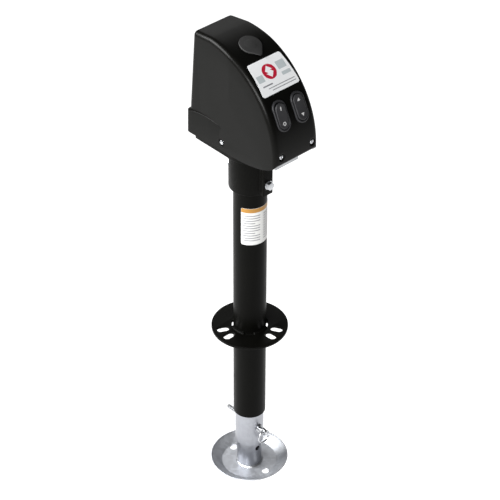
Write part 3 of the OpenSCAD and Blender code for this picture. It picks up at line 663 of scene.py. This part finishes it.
def bulge_half_width(y, z):
    """Half width of the bulge. It grows out of the cover's side, from a little inside it at the front."""
    up = (z - COVER_LOW) / COVER_HEIGHT
    grown = min(y, REAR_TOP[0]) / REAR_TOP[0]
    return cover_side(y, z) + (BULGE_HALF - COVER_HALF + BULGE_UPRIGHT * up + BULGE_SINK) * grown - BULGE_SINK


def cover_bulge(wall):
    """The low bulge round the cover's rear half, with a rounded arched top edge."""
    corner = COVER_EDGE - wall
    rear = BULGE_REAR - COVER_EDGE
    last = BULGE_REAR - wall
    stations = [(y, 0) for y in range(0, int(rear), 4)]
    stations += [(rear + corner * math.sin(a), a) for a in quarter(12)]
    base = REAR_LOW[1]
    rings = []
    for y, turn in stations:
        into = max(0, (y - last + BULGE_ROUND) / BULGE_ROUND)
        drop = BULGE_ROUND * (1 - math.sqrt(max(0, 1 - into ** 2)))
        top = BULGE_TOP - (y - BULGE_ARCH) ** 2 / (2 * BULGE_ARCH_R) - wall - drop
        less = wall + corner * (1 - math.cos(turn))
        foot = bulge_half_width(min(y, rear), base) - less
        half = bulge_half_width(min(y, rear), top - BULGE_ROUND) - less
        right = arc(half - BULGE_ROUND, top - BULGE_ROUND, BULGE_ROUND, 0, 90, 6)
        left = arc(BULGE_ROUND - half, top - BULGE_ROUND, BULGE_ROUND, 90, 180, 6)
        rings.append([(x, y, z) for x, z in [(-foot, base), (foot, base)] + right + left])
    bm = skin(rings)
    bmesh.ops.triangulate(bm, faces=bm.faces)
    return bm


def below_cover():
    """Everything below the cover's lower edge, which is level at the rear and sweeps up to the front."""
    sweep = [
        (-COVER_SWEEP * math.sin(a), COVER_LOW + COVER_RISE * (1 - math.cos(a))) for a in quarter(30)
    ]
    reach = 160
    floor = COVER_LOW - reach
    front = COVER_LOW + COVER_RISE
    outline = [(reach, COVER_LOW)] + sweep + [(-reach, front), (-reach, floor), (reach, floor)]
    return turned(plate([outline[::-1]], -reach / 2, reach / 2), FROM_SIDE)


def flared(outline, floor):
    """A cutter for a recess: straight sides from its floor, then a rounded mouth just below the skin."""
    reach = 15
    rings = [[(x, y, floor) for x, y in outline(0)]]
    for a in quarter(5):
        height = MOUTH_DEPTH * math.sin(a) - MOUTH_DEPTH
        rings.append([(x, y, height) for x, y in outline(MOUTH_WIDTH * (1 - math.cos(a)))])
    rings.append([(x, y, reach) for x, y in outline(MOUTH_WIDTH + 0.2)])
    return skin(rings)


def round_seat(floor, top):
    """A cutter for a screw's seat, flared where it meets the skin at the given height."""
    above = top + 10
    profile = [(0, floor), (SEAT_R, floor)]
    for a in quarter(5):
        radius = SEAT_R + SEAT_FLARE * (1 - math.cos(a))
        profile.append((radius, top - SEAT_FLARE + SEAT_FLARE * math.sin(a)))
    profile += [(SEAT_R + SEAT_FLARE + 0.1, above), (0, above)]
    return lathe(profile, 48, loop=False)


def drill(radius, z0, z1, steps=32):
    """A cutter or a post: a round rod along Z."""
    return lathe([(0, z0), (radius, z0), (radius, z1), (0, z1)], steps, loop=False)


def mark_seam(obj):
    """Keeps a crisp line where faces of different material slots meet, after a Boolean."""
    bm = bmesh.new()
    bm.from_mesh(obj.data)
    for edge in bm.edges:
        slots = {face.material_index for face in edge.link_faces}
        edge.seam = len(slots) > 1 and edge.calc_face_angle(0) > SEAM_ANGLE
    bm.to_mesh(obj.data)
    bm.free()


def bulged_cover():
    """The cover's solid outside. The bulge has its own slot while its outline is found."""
    cover = new_object("cover", cover_block(0))
    bulge = new_object("bulge", cover_bulge(0))
    for obj in (cover, bulge):
        obj.data.materials.append(MATERIALS["black_cover"])
        obj.data.materials.append(MATERIALS["black_casting"])
    for face in bulge.data.polygons:
        face.material_index = 1
    combine(cover, bulge, "UNION")
    mark_seam(cover)
    return cover


def front_screw_matrix(y, side):
    return along_y(y, side * FRONT_SCREW[0], FRONT_SCREW[1], True)


def add_cover_posts(cover, side):
    """Inside: the pad behind a switch and the posts behind a front screw and a side screw."""
    pad = plate([stadium(BEZEL_W + 4, BEZEL_L + 4)], SEAT_Z - WALL, SEAT_Z + 0.2)
    post = turned(drill(POST_R, 0, FRONT_POST_L, 40), front_screw_matrix(CHASSIS_FRONT, side))
    side_post = turned(drill(POST_R, 0, SIDE_POST_L, 40), along_x(side * CASE_HALF, *SIDE_SCREW, side))
    add(cover, turned(pad, face_matrix(SWITCH_ANGLE, side * SWITCH_X)), post, side_post)


def cut_switch_well(cover, side):
    gap = 0.4
    on_switch = face_matrix(SWITCH_ANGLE, side * SWITCH_X)
    well = flared(lambda grow: stadium(BEZEL_W + gap + 2 * grow, BEZEL_L + gap + 2 * grow), SEAT_Z)
    window = plate([rectangle(-11, -18.5, 11, 18.5, 1)], -20, 5)
    cut(cover, turned(well, on_switch), turned(window, on_switch))


def cut_screw_seats(cover, side):
    front = front_screw_matrix(0, side)
    skin_y = FACE_R - FACE_Y - 0.5
    cut(cover, turned(round_seat(-FRONT_SEAT, skin_y), front), turned(drill(SCREW_HOLE_R, 95, 112), front))
    across = along_x(0, *SIDE_SCREW, side)
    skin_x = cover_half_width(*SIDE_SCREW)
    cut(cover, turned(round_seat(SIDE_SEAT, skin_x), across), turned(drill(SCREW_HOLE_R, 40, 52), across))


def cut_plug_seat(cover):
    on_plug = face_matrix(PLUG_ANGLE)
    recess = flared(lambda grow: circle(PLUG_R + PLUG_GAP + grow, 96), PLUG_SEAT)
    cut(cover, turned(recess, on_plug), turned(drill(PLUG_NECK_R + 0.1, -20, 5, 64), on_plug))


def add_cover():
    cover = bulged_cover()
    hollow = new_object("hollow", cover_block(WALL))
    add(hollow, cover_bulge(WALL))
    combine(cover, hollow, "DIFFERENCE")
    for side in (-1, 1):
        add_cover_posts(cover, side)
    cut(cover, below_cover())
    for side in (-1, 1):
        cut_switch_well(cover, side)
        cut_screw_seats(cover, side)
    cut_plug_seat(cover)
    cut(cover, turned(drill(GROMMET_HOLE_R, 80, 110), along_y(0, *GROMMET)))
    piece(cover, "cover_shell", "black_cover", "root", "cover")


# ---------- plug ----------

def moved(obj, matrix):
    """Moves a finished mesh by a matrix that is in millimetres."""
    obj.data.transform(Matrix.Scale(MM, 4) @ matrix @ Matrix.Scale(1 / MM, 4))
    return obj


def egg(tip_r, tip_y, radius):
    """The outline round a big circle at the origin and a small one below it."""
    lean = math.degrees(math.asin((radius - tip_r) / tip_y))
    tip = arc(0, -tip_y, tip_r, 180 + lean, 360 - lean, 12)
    return arc(0, 0, radius, -lean, 180 + lean, 48) + tip


def add_plug():
    """The plug over the hand crank's hexagon: a neck, a domed cap and a lip to lift it by."""
    edge = 1.3
    rim = 1.8
    low_end = -9
    dome_r = 60.8
    dome_low = 3.1 - dome_r
    profile = [(0, low_end), (PLUG_NECK_R - 1, low_end), (PLUG_NECK_R, low_end + 1)]
    profile += [(PLUG_NECK_R, PLUG_SEAT), (PLUG_R, PLUG_SEAT)]
    profile += arc(PLUG_R - edge, rim - edge, edge, 0, 72, 5)
    for k in range(11):
        r = (PLUG_R - 1.5) * (1 - k / 10)
        profile.append((r, dome_low + math.sqrt(dome_r ** 2 - r ** 2)))
    cap = new_object("plug", lathe(profile, 96, loop=False))
    add(cap, plate([egg(4.5, 22, PLUG_R - 0.15)], 0.2, 2.1, 0.8))
    piece(moved(cap, face_matrix(PLUG_ANGLE)), "override_plug_cap", "rubber_plug", "plug", "override_plug")


# ---------- prints ----------

def sliced(bm, axis, step):
    """Cuts a flat shape across every step along an axis, so that it can be bent."""
    reach = [v.co[axis] for v in bm.verts]
    normal = Vector((0, 0, 0))
    normal[axis] = 1
    for k in range(int(min(reach) // step) + 1, int(max(reach) // step) + 1):
        geometry = bm.verts[:] + bm.edges[:] + bm.faces[:]
        bmesh.ops.bisect_plane(bm, geom=geometry, plane_co=normal * (k * step), plane_no=normal, dist=1e-5)
    return bm


def bent(bm, place):
    """Moves every point (x, y, z) to place(x, y, z)."""
    for v in bm.verts:
        v.co = place(*v.co)
    return bm


def on_label(x, s, height):
    """A point of the face label: x across, s up along the arc from its middle, height off the face."""
    a = math.radians(LABEL_ANGLE) + s / FACE_R
    r = FACE_R + height
    return Vector((x, FACE_Y - r * math.cos(a), FACE_Z + r * math.sin(a)))


def on_tube(s, z, height):
    """A point of the tube's label: s round the tube from the front, z up."""
    a = -math.pi / 2 + s / TUBE_R
    r = TUBE_R + height
    return Vector((r * math.cos(a), r * math.sin(a), z))


def face_print(loops, low_h, high_h):
    """A print on the face label, from outlines."""
    return bent(sliced(plate(loops, low_h, high_h), 1, 3), on_label)


def tube_print(loops, low_h, high_h):
    """A print on the tube's label, from outlines."""
    return bent(sliced(plate(loops, low_h, high_h), 0, 2.5), on_tube)


def add_face_label():
    half_w, taper, half_h, corner = 36.8, 2.2, 29.0, 4.0
    low_w, high_w = half_w + taper, half_w - taper
    bottom = [(-low_w, -half_h, corner), (low_w, -half_h, corner)]
    outline = rounded(bottom + [(high_w, half_h, corner), (-high_w, half_h, corner)], 8)
    sheet = face_print([outline], 0, 0.4)
    piece(sheet, "face_label_sheet", "face_label", "root", "label_plate")
    ink = (0.34, 0.46)
    disc_x, disc_y = -4, 6
    disc = face_print([circle(13.2, 72, disc_x, disc_y)], *ink)
    piece(disc, "face_label_disc", "ink_red", "root")
    half_arrow = [(-7.5, 2.2), (0, 10.2), (7.5, 2.2), (2.7, 2.2)]
    arrows = half_arrow + [(-x, -y) for x, y in half_arrow]
    arrows = face_print([[(x + disc_x, y + disc_y) for x, y in arrows]], ink[0] + 0.06, ink[1] + 0.06)
    piece(arrows, "face_label_arrows", "face_label", "root")
    panels = [rectangle(-33, -6, -20, 6, 1.2), rectangle(14, 2, 31, 16, 1.2), rectangle(15, -9, 33, -3, 1.2)]
    piece(face_print(panels, *ink), "face_label_panels", "ink_pale", "root")
    bars = [rectangle(-30, -14.5, -10, -12.3, 0.6), rectangle(-22, -19.5, 33, -18.2, 0.4)]
    bars += [rectangle(-16, -23.8, 34, -22.5, 0.4)]
    piece(face_print(bars, *ink), "face_label_bars", "ink_grey", "root")


def add_tube_label():
    half = math.radians(74) * TUBE_R
    margin = 0.3
    sheet = tube_print([rectangle(-half, LABEL_LOW, half, LABEL_HIGH, 3)], 0, 0.3)
    piece(sheet, "tube_label_sheet", "printed_label", "root", "tube_label")
    ink = (0.26, 0.36)
    header_half, header_low, header_top = half - margin, LABEL_HIGH - 8.5, LABEL_HIGH - margin
    bottom = [(-header_half, header_low, 0), (header_half, header_low, 0)]
    header = rounded(bottom + [(header_half, header_top, 2.8), (-header_half, header_top, 2.8)])
    piece(tube_print([header], *ink), "tube_label_header", "ink_orange", "root")
    first, pitch, thick, inset = 14, 5, 1.9, 3.5
    lines = []
    for column in (-1, 1):
        for k in range(11):
            top = LABEL_HIGH - first - pitch * k
            short = 9 if k % 4 == 3 else 0
            x0 = column * half / 2 - half / 2 + inset
            lines.append(rectangle(x0, top - thick, x0 + half - 2 * inset - short, top, 0.5))
    piece(tube_print(lines, *ink), "tube_label_lines", "ink_line", "root")


# ---------- switches ----------

def add_bezel(name, side):
    lip = 1.5
    well_inset = (BEZEL_W - ROCKER_W) / 2 - 0.5
    steps = [(0, SEAT_Z)]
    steps += [(lip - lip * math.cos(a), BEZEL_H - lip + lip * math.sin(a)) for a in quarter(6)]
    steps += [(well_inset - 1 + math.sin(a), BEZEL_H - 1 + math.cos(a)) for a in quarter(4)]
    steps += [(well_inset, WELL_Z), (5.2, WELL_Z), (5.2, -12.2), (2.8, -12.2), (2.8, SEAT_Z)]
    rings = [[(x, y, z) for x, y in stadium(BEZEL_W - 2 * d, BEZEL_L - 2 * d, 24)] for d, z in steps]
    bezel = turned(skin(rings, loop=True), face_matrix(SWITCH_ANGLE, side * SWITCH_X))
    piece(bezel, name + "_surround", "switch_frame", "root", name + "_bezel")


def rocker_height(y):
    """The rocker's top: lowest across its middle."""
    return ROCKER_TOP - 1.3 * (1 - (y / (ROCKER_L / 2)) ** 2)


def rocker_matrix(side, tilt):
    """From the rocker's own frame to the cover's face, tipped about its pin."""
    return (
        face_matrix(SWITCH_ANGLE, side * SWITCH_X) @ Matrix.Translation((0, 0, PIVOT_Z))
        @ Matrix.Rotation(math.radians(tilt), 4, "X") @ Matrix.Translation((0, 0, -PIVOT_Z))
    )


def add_rocker(name, side, tilt, body, marks):
    edge = 1.6
    steps = [(edge * (1 - math.cos(a)), edge * (1 - math.sin(a))) for a in quarter(6)]
    steps += [(inset, 0) for inset in (3.2, 5.2, 7.4, 9.6)]
    rings = [[(x, y, -0.2) for x, y in stadium(ROCKER_W, ROCKER_L, 24)]]
    for inset, drop in steps:
        outline = stadium(ROCKER_W - 2 * inset, ROCKER_L - 2 * inset, 24)
        rings.append([(x, y, rocker_height(y) - drop) for x, y in outline])
    bm = skin(rings, close_ends=False)
    bm.faces.new([v for v in bm.verts[:len(rings[0])]][::-1])
    last = bm.verts[:][-len(rings[-1]):]
    half = len(last) // 2
    for k in range(half - 1):
        bm.faces.new((last[k], last[k + 1], last[-2 - k], last[-1 - k]))
    rocker = new_object("rocker", turned(bm, rocker_matrix(side, tilt)))
    lug = plate([rectangle(-6, -4.5, 6, 4.5, 0.5)], -8.6, 0.2)
    add(rocker, turned(lug, rocker_matrix(side, tilt)))
    piece(rocker, name + "_boot", "switch_rubber", body, name + "_rocker")
    shape = sliced(plate(marks, -0.05, 0.12), 1, 2)
    bent(shape, lambda x, y, h: Vector((x, y, rocker_height(y) + h)))
    piece(turned(shape, rocker_matrix(side, tilt)), name + "_marks", "mark_white", body)


def add_switches():
    reach = 12.5
    bar = rectangle(-0.9, reach - 3.2, 0.9, reach + 3.2)
    ring = [circle(3.1, 32, 0, -reach), circle(1.8, 32, 0, -reach)]
    up = [(-3, reach - 2.4), (3, reach - 2.4), (0, reach + 2.8)]
    down = [(-3, 2.4 - reach), (0, -2.8 - reach), (3, 2.4 - reach)]
    add_bezel("power_switch", -1)
    add_bezel("direction_switch", 1)
    add_rocker("power_switch", -1, POWER_TILT, "power_rocker", [bar] + ring)
    add_rocker("direction_switch", 1, 0, "direction_rocker", [up, down])


# ---------- fasteners ----------

def pan_head(shank):
    """A cross-recess screw with a domed head. The origin is under the head, which points up."""
    radius = 4.0
    dome = [(radius, 0), (radius, 0.9)] + arc(radius - 1.1, 0.9, 1.1, 15, 60, 3)
    dome += [(2.2, 2.2), (1.2, 2.34), (0, 2.4)]
    screw = new_object("screw", lathe([(0, -shank), (2, -shank), (2, 0)] + dome, 48, loop=False))
    arm, half = 2.1, 0.5
    plus = [
        (-half, -arm), (half, -arm), (half, -half), (arm, -half), (arm, half), (half, half),
        (half, arm), (-half, arm), (-half, half), (-arm, half), (-arm, -half), (-half, -half),
    ]
    rings = [[(x * t, y * t, z) for x, y in plus] for t, z in ((0.35, 0.5), (1, 2.0), (1.25, 3.0))]
    return cut(screw, skin(rings))


def gathered(objects):
    """Joins finished objects into the first."""
    whole = joined(*[from_object(obj) for obj in objects])
    for obj in objects:
        bpy.data.objects.remove(obj)
    return new_object("whole", whole)


def from_object(obj):
    """An object's mesh as a bmesh in millimetres."""
    bm = bmesh.new()
    bm.from_mesh(obj.data)
    bm.transform(Matrix.Scale(1 / MM, 4))
    return bm


def add_cover_screws():
    heads = []
    for side in (-1, 1):
        spin = Matrix.Rotation(math.radians(20 + 25 * side), 4, "Z")
        place = along_y(FRONT_SEAT, side * FRONT_SCREW[0], FRONT_SCREW[1], True)
        heads.append(moved(pan_head(9), place @ spin))
    piece(gathered(heads), "front_screw_heads", "bright_zinc", "root", "front_screws")
    heads = []
    for side in (-1, 1):
        spin = Matrix.Rotation(math.radians(55 + 10 * side), 4, "Z")
        heads.append(moved(pan_head(9.4), along_x(side * SIDE_SEAT, *SIDE_SCREW, side) @ spin))
    piece(gathered(heads), "side_screw_heads", "bright_zinc", "root", "side_screws")


def hex_head(flats, height):
    """A hexagon head with its corners turned off, standing on the local origin's plane."""
    corner = flats / 2 / math.cos(math.pi / 6)
    head = new_object("head", skin([[(x, y, z) for x, y in circle(corner, 6)] for z in (0, height)]))
    turning = [(0, 0), (corner + 1, 0), (corner + 1, height - 1.2), (flats / 2 - 0.3, height), (0, height)]
    return combine(head, new_object("tool", lathe(turning, 96, loop=False)), "INTERSECT")


WASHER_T = 1.5
NECK_BOLT_R = 4
# How far the bolts' hexagons happen to be turned
BOLT_TURN = 0.26


def add_neck_bolts():
    seat = high("neck_washers", 1) - WASHER_T
    heads, rings = [], []
    for forward in (True, False):
        out = along_y(0, 0, NECK_BOLT_Z, forward)
        bolt = hex_head(13, 5.5)
        add(bolt, drill(NECK_BOLT_R, -19, 0.5, 40))
        spin = Matrix.Rotation(BOLT_TURN, 4, "Z")
        heads.append(moved(bolt, out @ Matrix.Translation((0, 0, seat + WASHER_T)) @ spin))
        washer = lathe([(4.1, 0), (7.8, 0), (8, 0.2), (8, 1.3), (7.8, WASHER_T), (4.1, WASHER_T)], 64)
        rings.append(turned(washer, out @ Matrix.Translation((0, 0, seat))))
    piece(gathered(heads), "neck_bolt_heads", "bright_zinc", "root", "neck_bolts")
    piece(joined(*rings), "neck_washer_rings", "bright_zinc", "root", "neck_washers")


# ---------- gear case ----------

def neck_outline():
    """The neck's plan: a circle with a boss at the front and one at the rear."""
    radius, half, reach = 36.2, 10.7, high("neck_washers", 1) - WASHER_T
    start = math.degrees(math.asin(half / radius)) + 5
    corners = []
    for turn in (0, 180):
        sign = 1 if turn == 0 else -1
        for x, y in arc(0, 0, radius, -90 + start + turn, 90 - start + turn, 36):
            corners.append((x, y, 0))
        joint = math.sqrt(radius ** 2 - half ** 2)
        corners += [
            (sign * half, sign * joint, 3), (sign * half, sign * reach, 2),
            (-sign * half, sign * reach, 2), (-sign * half, sign * joint, 3),
        ]
    return rounded(corners, 6)


def case_outline(inset):
    """The case's plan: half round at the front, with rounded rear corners."""
    half = CASE_HALF - inset
    rear = CASE_REAR - inset
    radius = 6 - inset / 2
    right = arc(half - radius, rear - radius, radius, 0, 90, 6)
    left = arc(radius - half, rear - radius, radius, 90, 180, 6)
    return arc(0, 0, half, 180, 360, 48) + right + left


CASE_FLOOR = 683
CASE_SCREW_R = 2
# From a screw's axis to the outside of its head
CASE_SCREW_EDGE = 4


def add_gearcase():
    case = new_object("case", plate([neck_outline()], NECK_LOW, CASE_FLOOR + 4, 1.4))
    add(case, plate([case_outline(0)], CASE_FLOOR, CASE_TOP, 1.0))
    cut(case, plate([case_outline(4)], CASE_FLOOR + 6, CASE_TOP + 5))
    screw_x = high("gearcase_screws", 0) - CASE_SCREW_EDGE
    screw_y = (low("gearcase_screws", 1) + CASE_SCREW_EDGE, high("gearcase_screws", 1) - CASE_SCREW_EDGE)
    places = [(x, y) for x in (-screw_x, screw_x) for y in screw_y]
    for x, y in places:
        add(case, turned(drill(4.5, CASE_FLOOR + 1, CASE_TOP), Matrix.Translation((x, y, 0))))
    for x, y in places:
        hole = drill(CASE_SCREW_R, CASE_TOP - 12, CASE_TOP + 1)
        cut(case, turned(hole, Matrix.Translation((x, y, 0))))
    cut(case, drill(TUBE_R, NECK_LOW - 1, TUBE_HIGH, 128), drill(12, TUBE_HIGH - 5, CASE_TOP, 64))
    cut(case, turned(drill(NECK_BOLT_R, -60, 60), along_y(0, 0, NECK_BOLT_Z)))
    cut(case, turned(drill(2, -50, 50), along_x(0, *SIDE_SCREW)))
    piece(case, "gearcase_casting", "black_casting", "root", "gearcase_lower")


# ---------- column ----------

TUBE_WALL = 2.6


def add_outer_tube():
    inner = TUBE_R - TUBE_WALL
    profile = [(inner, TUBE_LOW + 0.5), (inner + 0.5, TUBE_LOW)]
    profile += [(TUBE_R - 0.7, TUBE_LOW), (TUBE_R, TUBE_LOW + 0.7), (TUBE_R, TUBE_HIGH), (inner, TUBE_HIGH)]
    tube = new_object("tube", lathe(profile, 192))
    cut(tube, turned(drill(NECK_BOLT_R, -60, 60), along_y(0, 0, NECK_BOLT_Z)))
    piece(tube, "outer_tube_skin", "black_powder_coat", "root", "outer_tube")


# The flange has three pairs of slots; the angles are of a pair's middle and from there to each slot.
SLOT_W = 13.5
SLOT_L = 22.0
SLOT_R = 48.5
SLOT_PAIR = 47.6
SLOT_SPREAD = 12.5
FLANGE_BORE = 31.4


def slot_outline(angle):
    turn = math.radians(angle)
    out = []
    for x, y in stadium(SLOT_W, SLOT_L, 16):
        r, t = SLOT_R + y, x
        out.append((r * math.cos(turn) + t * math.sin(turn), r * math.sin(turn) - t * math.cos(turn)))
    return out


def add_flange():
    angles = [SLOT_PAIR + turn + side * SLOT_SPREAD for turn in (0, 120, 240) for side in (-1, 1)]
    slots = [slot_outline(angle) for angle in angles]
    disc = plate([circle(FLANGE_R, 192), circle(FLANGE_BORE, 128)] + slots, FLANGE_LOW, FLANGE_HIGH, 0.6)
    piece(disc, "mounting_flange_disc", "black_powder_coat", "root", "mounting_flange")


def rippled(turn, pitch):
    """A weld bead's swell: fish scales, each a pitch (in degrees) wide."""
    share = (turn / pitch) % 1
    return 0.86 + 0.14 * math.sqrt(1 - (1 - share) ** 2)


# Four welds hold the tube to the flange. Their arc is in degrees.
WELD_ARC = 60
WELD_LEG = 3.5
WELD_LAP = 1.6
WELD_SCALE = 3.2


def weld_section(swell):
    """A flange weld's section, as (radius, height) points."""
    lap, leg = WELD_LAP * swell, WELD_LEG * swell
    top = FLANGE_HIGH
    section = [(TUBE_R, FLANGE_LOW), (FLANGE_BORE, FLANGE_LOW), (FLANGE_BORE, top), (FLANGE_BORE + lap, top)]
    section += [(FLANGE_BORE + lap * 0.7, top + leg * 0.35), (FLANGE_BORE - 0.6, top + leg * 0.68)]
    return section + [(TUBE_R + 0.6, top + leg * 0.93), (TUBE_R, top + leg)]


def add_flange_welds():
    beads = []
    steps = 120
    for run in range(4):
        rings = []
        for k in range(steps + 1):
            turn = WELD_ARC * k / steps
            a = math.radians(90 * run - WELD_ARC / 2 + turn)
            end = min(1, (min(turn, WELD_ARC - turn) + 0.6) / 4)
            section = weld_section(rippled(turn, WELD_SCALE) * math.sqrt(end))
            rings.append([(r * math.cos(a), r * math.sin(a), z) for r, z in section])
        beads.append(skin(rings))
    piece(joined(*beads), "flange_weld_beads", "black_powder_coat", "root", "flange_welds", angle=50)


def add_grommet():
    profile = [(3.4, 0), (5.6, 0), (5.9, 0.3), (5.9, 7.2), (7.4, 7.2), (8, 7.7), (8, 8.7), (7.4, 9.2)]
    profile += [(5.9, 9.4), (5.4, 10.6), (4.9, 11), (3.8, 11), (3.4, 10.6)]
    rings = turned(lathe(profile, 48), along_y(low("lead_grommet", 1), *GROMMET))
    piece(rings, "lead_grommet_ring", "rubber_grommet", "root", "lead_grommet")


# ---------- ram, drop leg and foot ----------

RAM_BORE = 22.6
PIN_HOLE_R = 4.1
LEG_WALL = 3
# The lowest hole in the leg, and from each hole to the next
LEG_HOLE = 44.5
LEG_PITCH = 25.4
LEG_HOLE_R = 5
# The dish: the radius of its flat, its two holes (distance from the axis, radius) and its rolled rim
FOOT_FLOOR = 51.5
FOOT_HOLE = (43.0, 6.35)
ROLL = 1.2
FOOT_WELD = 2.5


def pipe(outer, inner, z0, z1):
    """A pipe about Z with turned edges."""
    chamfer, burr = 0.7, 0.4
    profile = [(inner, z0 + burr), (inner + burr, z0), (outer - chamfer, z0), (outer, z0 + chamfer)]
    profile += [(outer, z1 - chamfer), (outer - chamfer, z1), (inner + burr, z1), (inner, z1 - burr)]
    return lathe(profile, 160)


def add_ram():
    ram = new_object("ram", pipe(RAM_R, RAM_BORE, RAM_LOW, high("ram_tube", 2)))
    cut(ram, turned(drill(PIN_HOLE_R, -40, 40, 40), along_y(0, 0, PIN_Z)))
    piece(ram, "ram_tube_skin", "zinc_tube", "ram", "ram_tube")


def add_drop_leg():
    leg = new_object("leg", pipe(LEG_R, LEG_R - LEG_WALL, FOOT_SHEET, LEG_HIGH))
    heights = [LEG_HOLE + k * LEG_PITCH for k in range(7)]
    cut(leg, *[turned(drill(LEG_HOLE_R, -40, 40, 48), along_y(0, 0, z)) for z in heights])
    piece(leg, "drop_leg_tube", "zinc_tube", "leg", "drop_leg")


def add_foot():
    rim = FOOT_R - ROLL
    roll = FOOT_HIGH - ROLL
    profile = [(0, 0), (FOOT_FLOOR - 4, 0)]
    for k in range(1, 6):
        a = math.radians(12 * k)
        profile.append((FOOT_FLOOR - 4 + 5 * math.sin(a), 1.0 - math.cos(a) * 1.0))
    profile += arc(rim, roll, ROLL, -50, 205, 14)
    profile += arc(FOOT_FLOOR - 3.2, FOOT_SHEET + 4.0, 4.0, -34, -90, 6)
    profile += [(0, FOOT_SHEET)]
    dish = new_object("dish", lathe(profile, 192, loop=False))
    off_axis, radius = FOOT_HOLE
    hole_profile = [(0, -1), (radius, -1), (radius, 2.6), (radius + 0.5, 3.1), (radius + 0.5, 5), (0, 5)]
    for side in (-1, 1):
        hole = lathe(hole_profile, 64, loop=False)
        cut(dish, turned(hole, Matrix.Translation((0, side * off_axis, 0))))
    piece(dish, "foot_dish", "zinc_foot", "leg", "foot_plate")


def add_foot_weld():
    rings = []
    steps = 360
    for k in range(steps):
        a = TAU * k / steps
        size = FOOT_WELD * rippled(360 * k / steps, 9)
        section = [(0, 0), (1, 0), (0.62, 0.5), (0.22, 0.88), (0, 1)]
        place = [(LEG_R + size * out, FOOT_SHEET + size * up) for out, up in section]
        rings.append([(r * math.cos(a), r * math.sin(a), z) for r, z in place])
    piece(skin(rings, loop=True), "foot_weld_bead", "steel", "leg", "foot_weld", angle=50)


# ---------- pull pin ----------

EYE_Y = -38.0
EYE_R = 7.0
EYE_HOLE_R = 2.2
EYE_HALF = 2.5
RING_R = 12.5
WIRE_R = 1.4


def add_pin():
    radius, collar_r = 4.0, 7.5
    collar_low, collar_high = -RAM_R - 2.9, -RAM_R - 0.1
    profile = [(0, EYE_Y + 3), (radius, EYE_Y + 3), (radius, collar_low), (collar_r - 0.5, collar_low)]
    profile += [(collar_r, collar_low + 0.5), (collar_r, collar_high - 0.3), (collar_r - 0.3, collar_high)]
    profile += [(radius, collar_high), (radius, PIN_REAR - 3), (radius - 0.5, PIN_REAR - 1.8)]
    profile += [(1.9, PIN_REAR), (0, PIN_REAR)]
    pin = new_object("pin", turned(lathe(profile, 64, loop=False), along_y(0, 0, PIN_Z)))
    eye = plate([circle(EYE_R, 64), circle(EYE_HOLE_R, 40)], -EYE_HALF, EYE_HALF, 0.9)
    add(pin, turned(eye, along_x(0, EYE_Y, PIN_Z)))
    piece(pin, "pull_pin_shank", "pin_steel", "pin", "pull_pin")


def add_ring():
    """A split ring: round wire whose ends meet with a hairline gap."""
    gap = 0.025
    steps = 144
    middle_z = PIN_Z - RING_R
    rings = []
    for k in range(steps + 1):
        a = gap / 2 + (TAU - gap) * k / steps + math.radians(115)
        wire = [(RING_R + u, EYE_Y + v) for u, v in circle(WIRE_R, 24)]
        rings.append([(r * math.cos(a), y, middle_z + r * math.sin(a)) for r, y in wire])
    piece(skin(rings), "pull_ring_wire", "pin_steel", "ring", "pull_ring")


add_cover()
add_plug()
add_face_label()
add_tube_label()
add_switches()
add_cover_screws()
add_neck_bolts()
add_gearcase()
add_outer_tube()
add_flange()
add_flange_welds()
add_grommet()
add_ram()
add_drop_leg()
add_foot()
add_foot_weld()
add_pin()
add_ring()


# ---------- stage, light and camera ----------

# The light table's top lies just below the lowest reach of the foot, so it hides no pose.
FLOOR_Z = -460.0
FLOOR_REACH = 12000.0


def add_floor():
    bm = bmesh.new()
    corners = rectangle(-FLOOR_REACH, -FLOOR_REACH, FLOOR_REACH, FLOOR_REACH)
    bm.faces.new([bm.verts.new((x, y, FLOOR_Z)) for x, y in corners])
    bmesh.ops.subdivide_edges(bm, edges=bm.edges, cuts=7, use_grid_fill=True)
    floor = new_object("floor", bm)
    floor.data.materials.append(pale_floor())


def add_light(name, place, aim, size, power):
    """A soft rectangular light at a place in metres, aimed at a point."""
    data = bpy.data.lights.new(name, "AREA")
    data.shape = "RECTANGLE"
    data.size, data.size_y = size
    data.energy = power
    lamp = bpy.data.objects.new(name, data)
    lamp.location = place
    lamp.rotation_euler = (Vector(aim) - Vector(place)).to_track_quat("-Z", "Y").to_euler()
    bpy.context.scene.collection.objects.link(lamp)


def add_lights():
    world = bpy.data.worlds.new("studio")
    bpy.context.scene.world = world
    world.use_nodes = True
    sky = world.node_tree.nodes["Background"]
    sky.inputs["Color"].default_value = (1, 1, 1, 1)
    sky.inputs["Strength"].default_value = 0.12
    head = (0, 0, 0.8)
    add_light("left", (-2.3, -0.9, 1.8), head, (1.6, 0.9), 108)
    add_light("rear_left", (-1.65, 1.5, 1.95), head, (1.5, 1.1), 110)
    add_light("rear", (1.6, 1.8, 2.1), (0, 0, 0.4), (1.6, 1.6), 8)


def add_camera():
    azimuth, elevation, roll = math.radians(-42.71), math.radians(36.844), math.radians(0.194)
    target = Vector((0, 0, 0.4805))
    distance = 3.3958
    back = Vector((
        math.sin(azimuth) * math.cos(elevation),
        -math.cos(azimuth) * math.cos(elevation),
        math.sin(elevation),
    ))
    data = bpy.data.cameras.new("camera")
    data.sensor_width = 36
    data.lens = 144.8
    camera = bpy.data.objects.new("camera", data)
    camera.location = target + back * distance
    turn = (-back).to_track_quat("-Z", "Y").to_matrix() @ Matrix.Rotation(roll, 3, "Z")
    camera.rotation_euler = turn.to_euler()
    bpy.context.scene.collection.objects.link(camera)
    bpy.context.scene.camera = camera


add_floor()
add_lights()
add_camera()
bpy.context.scene.view_settings.view_transform = "Standard"
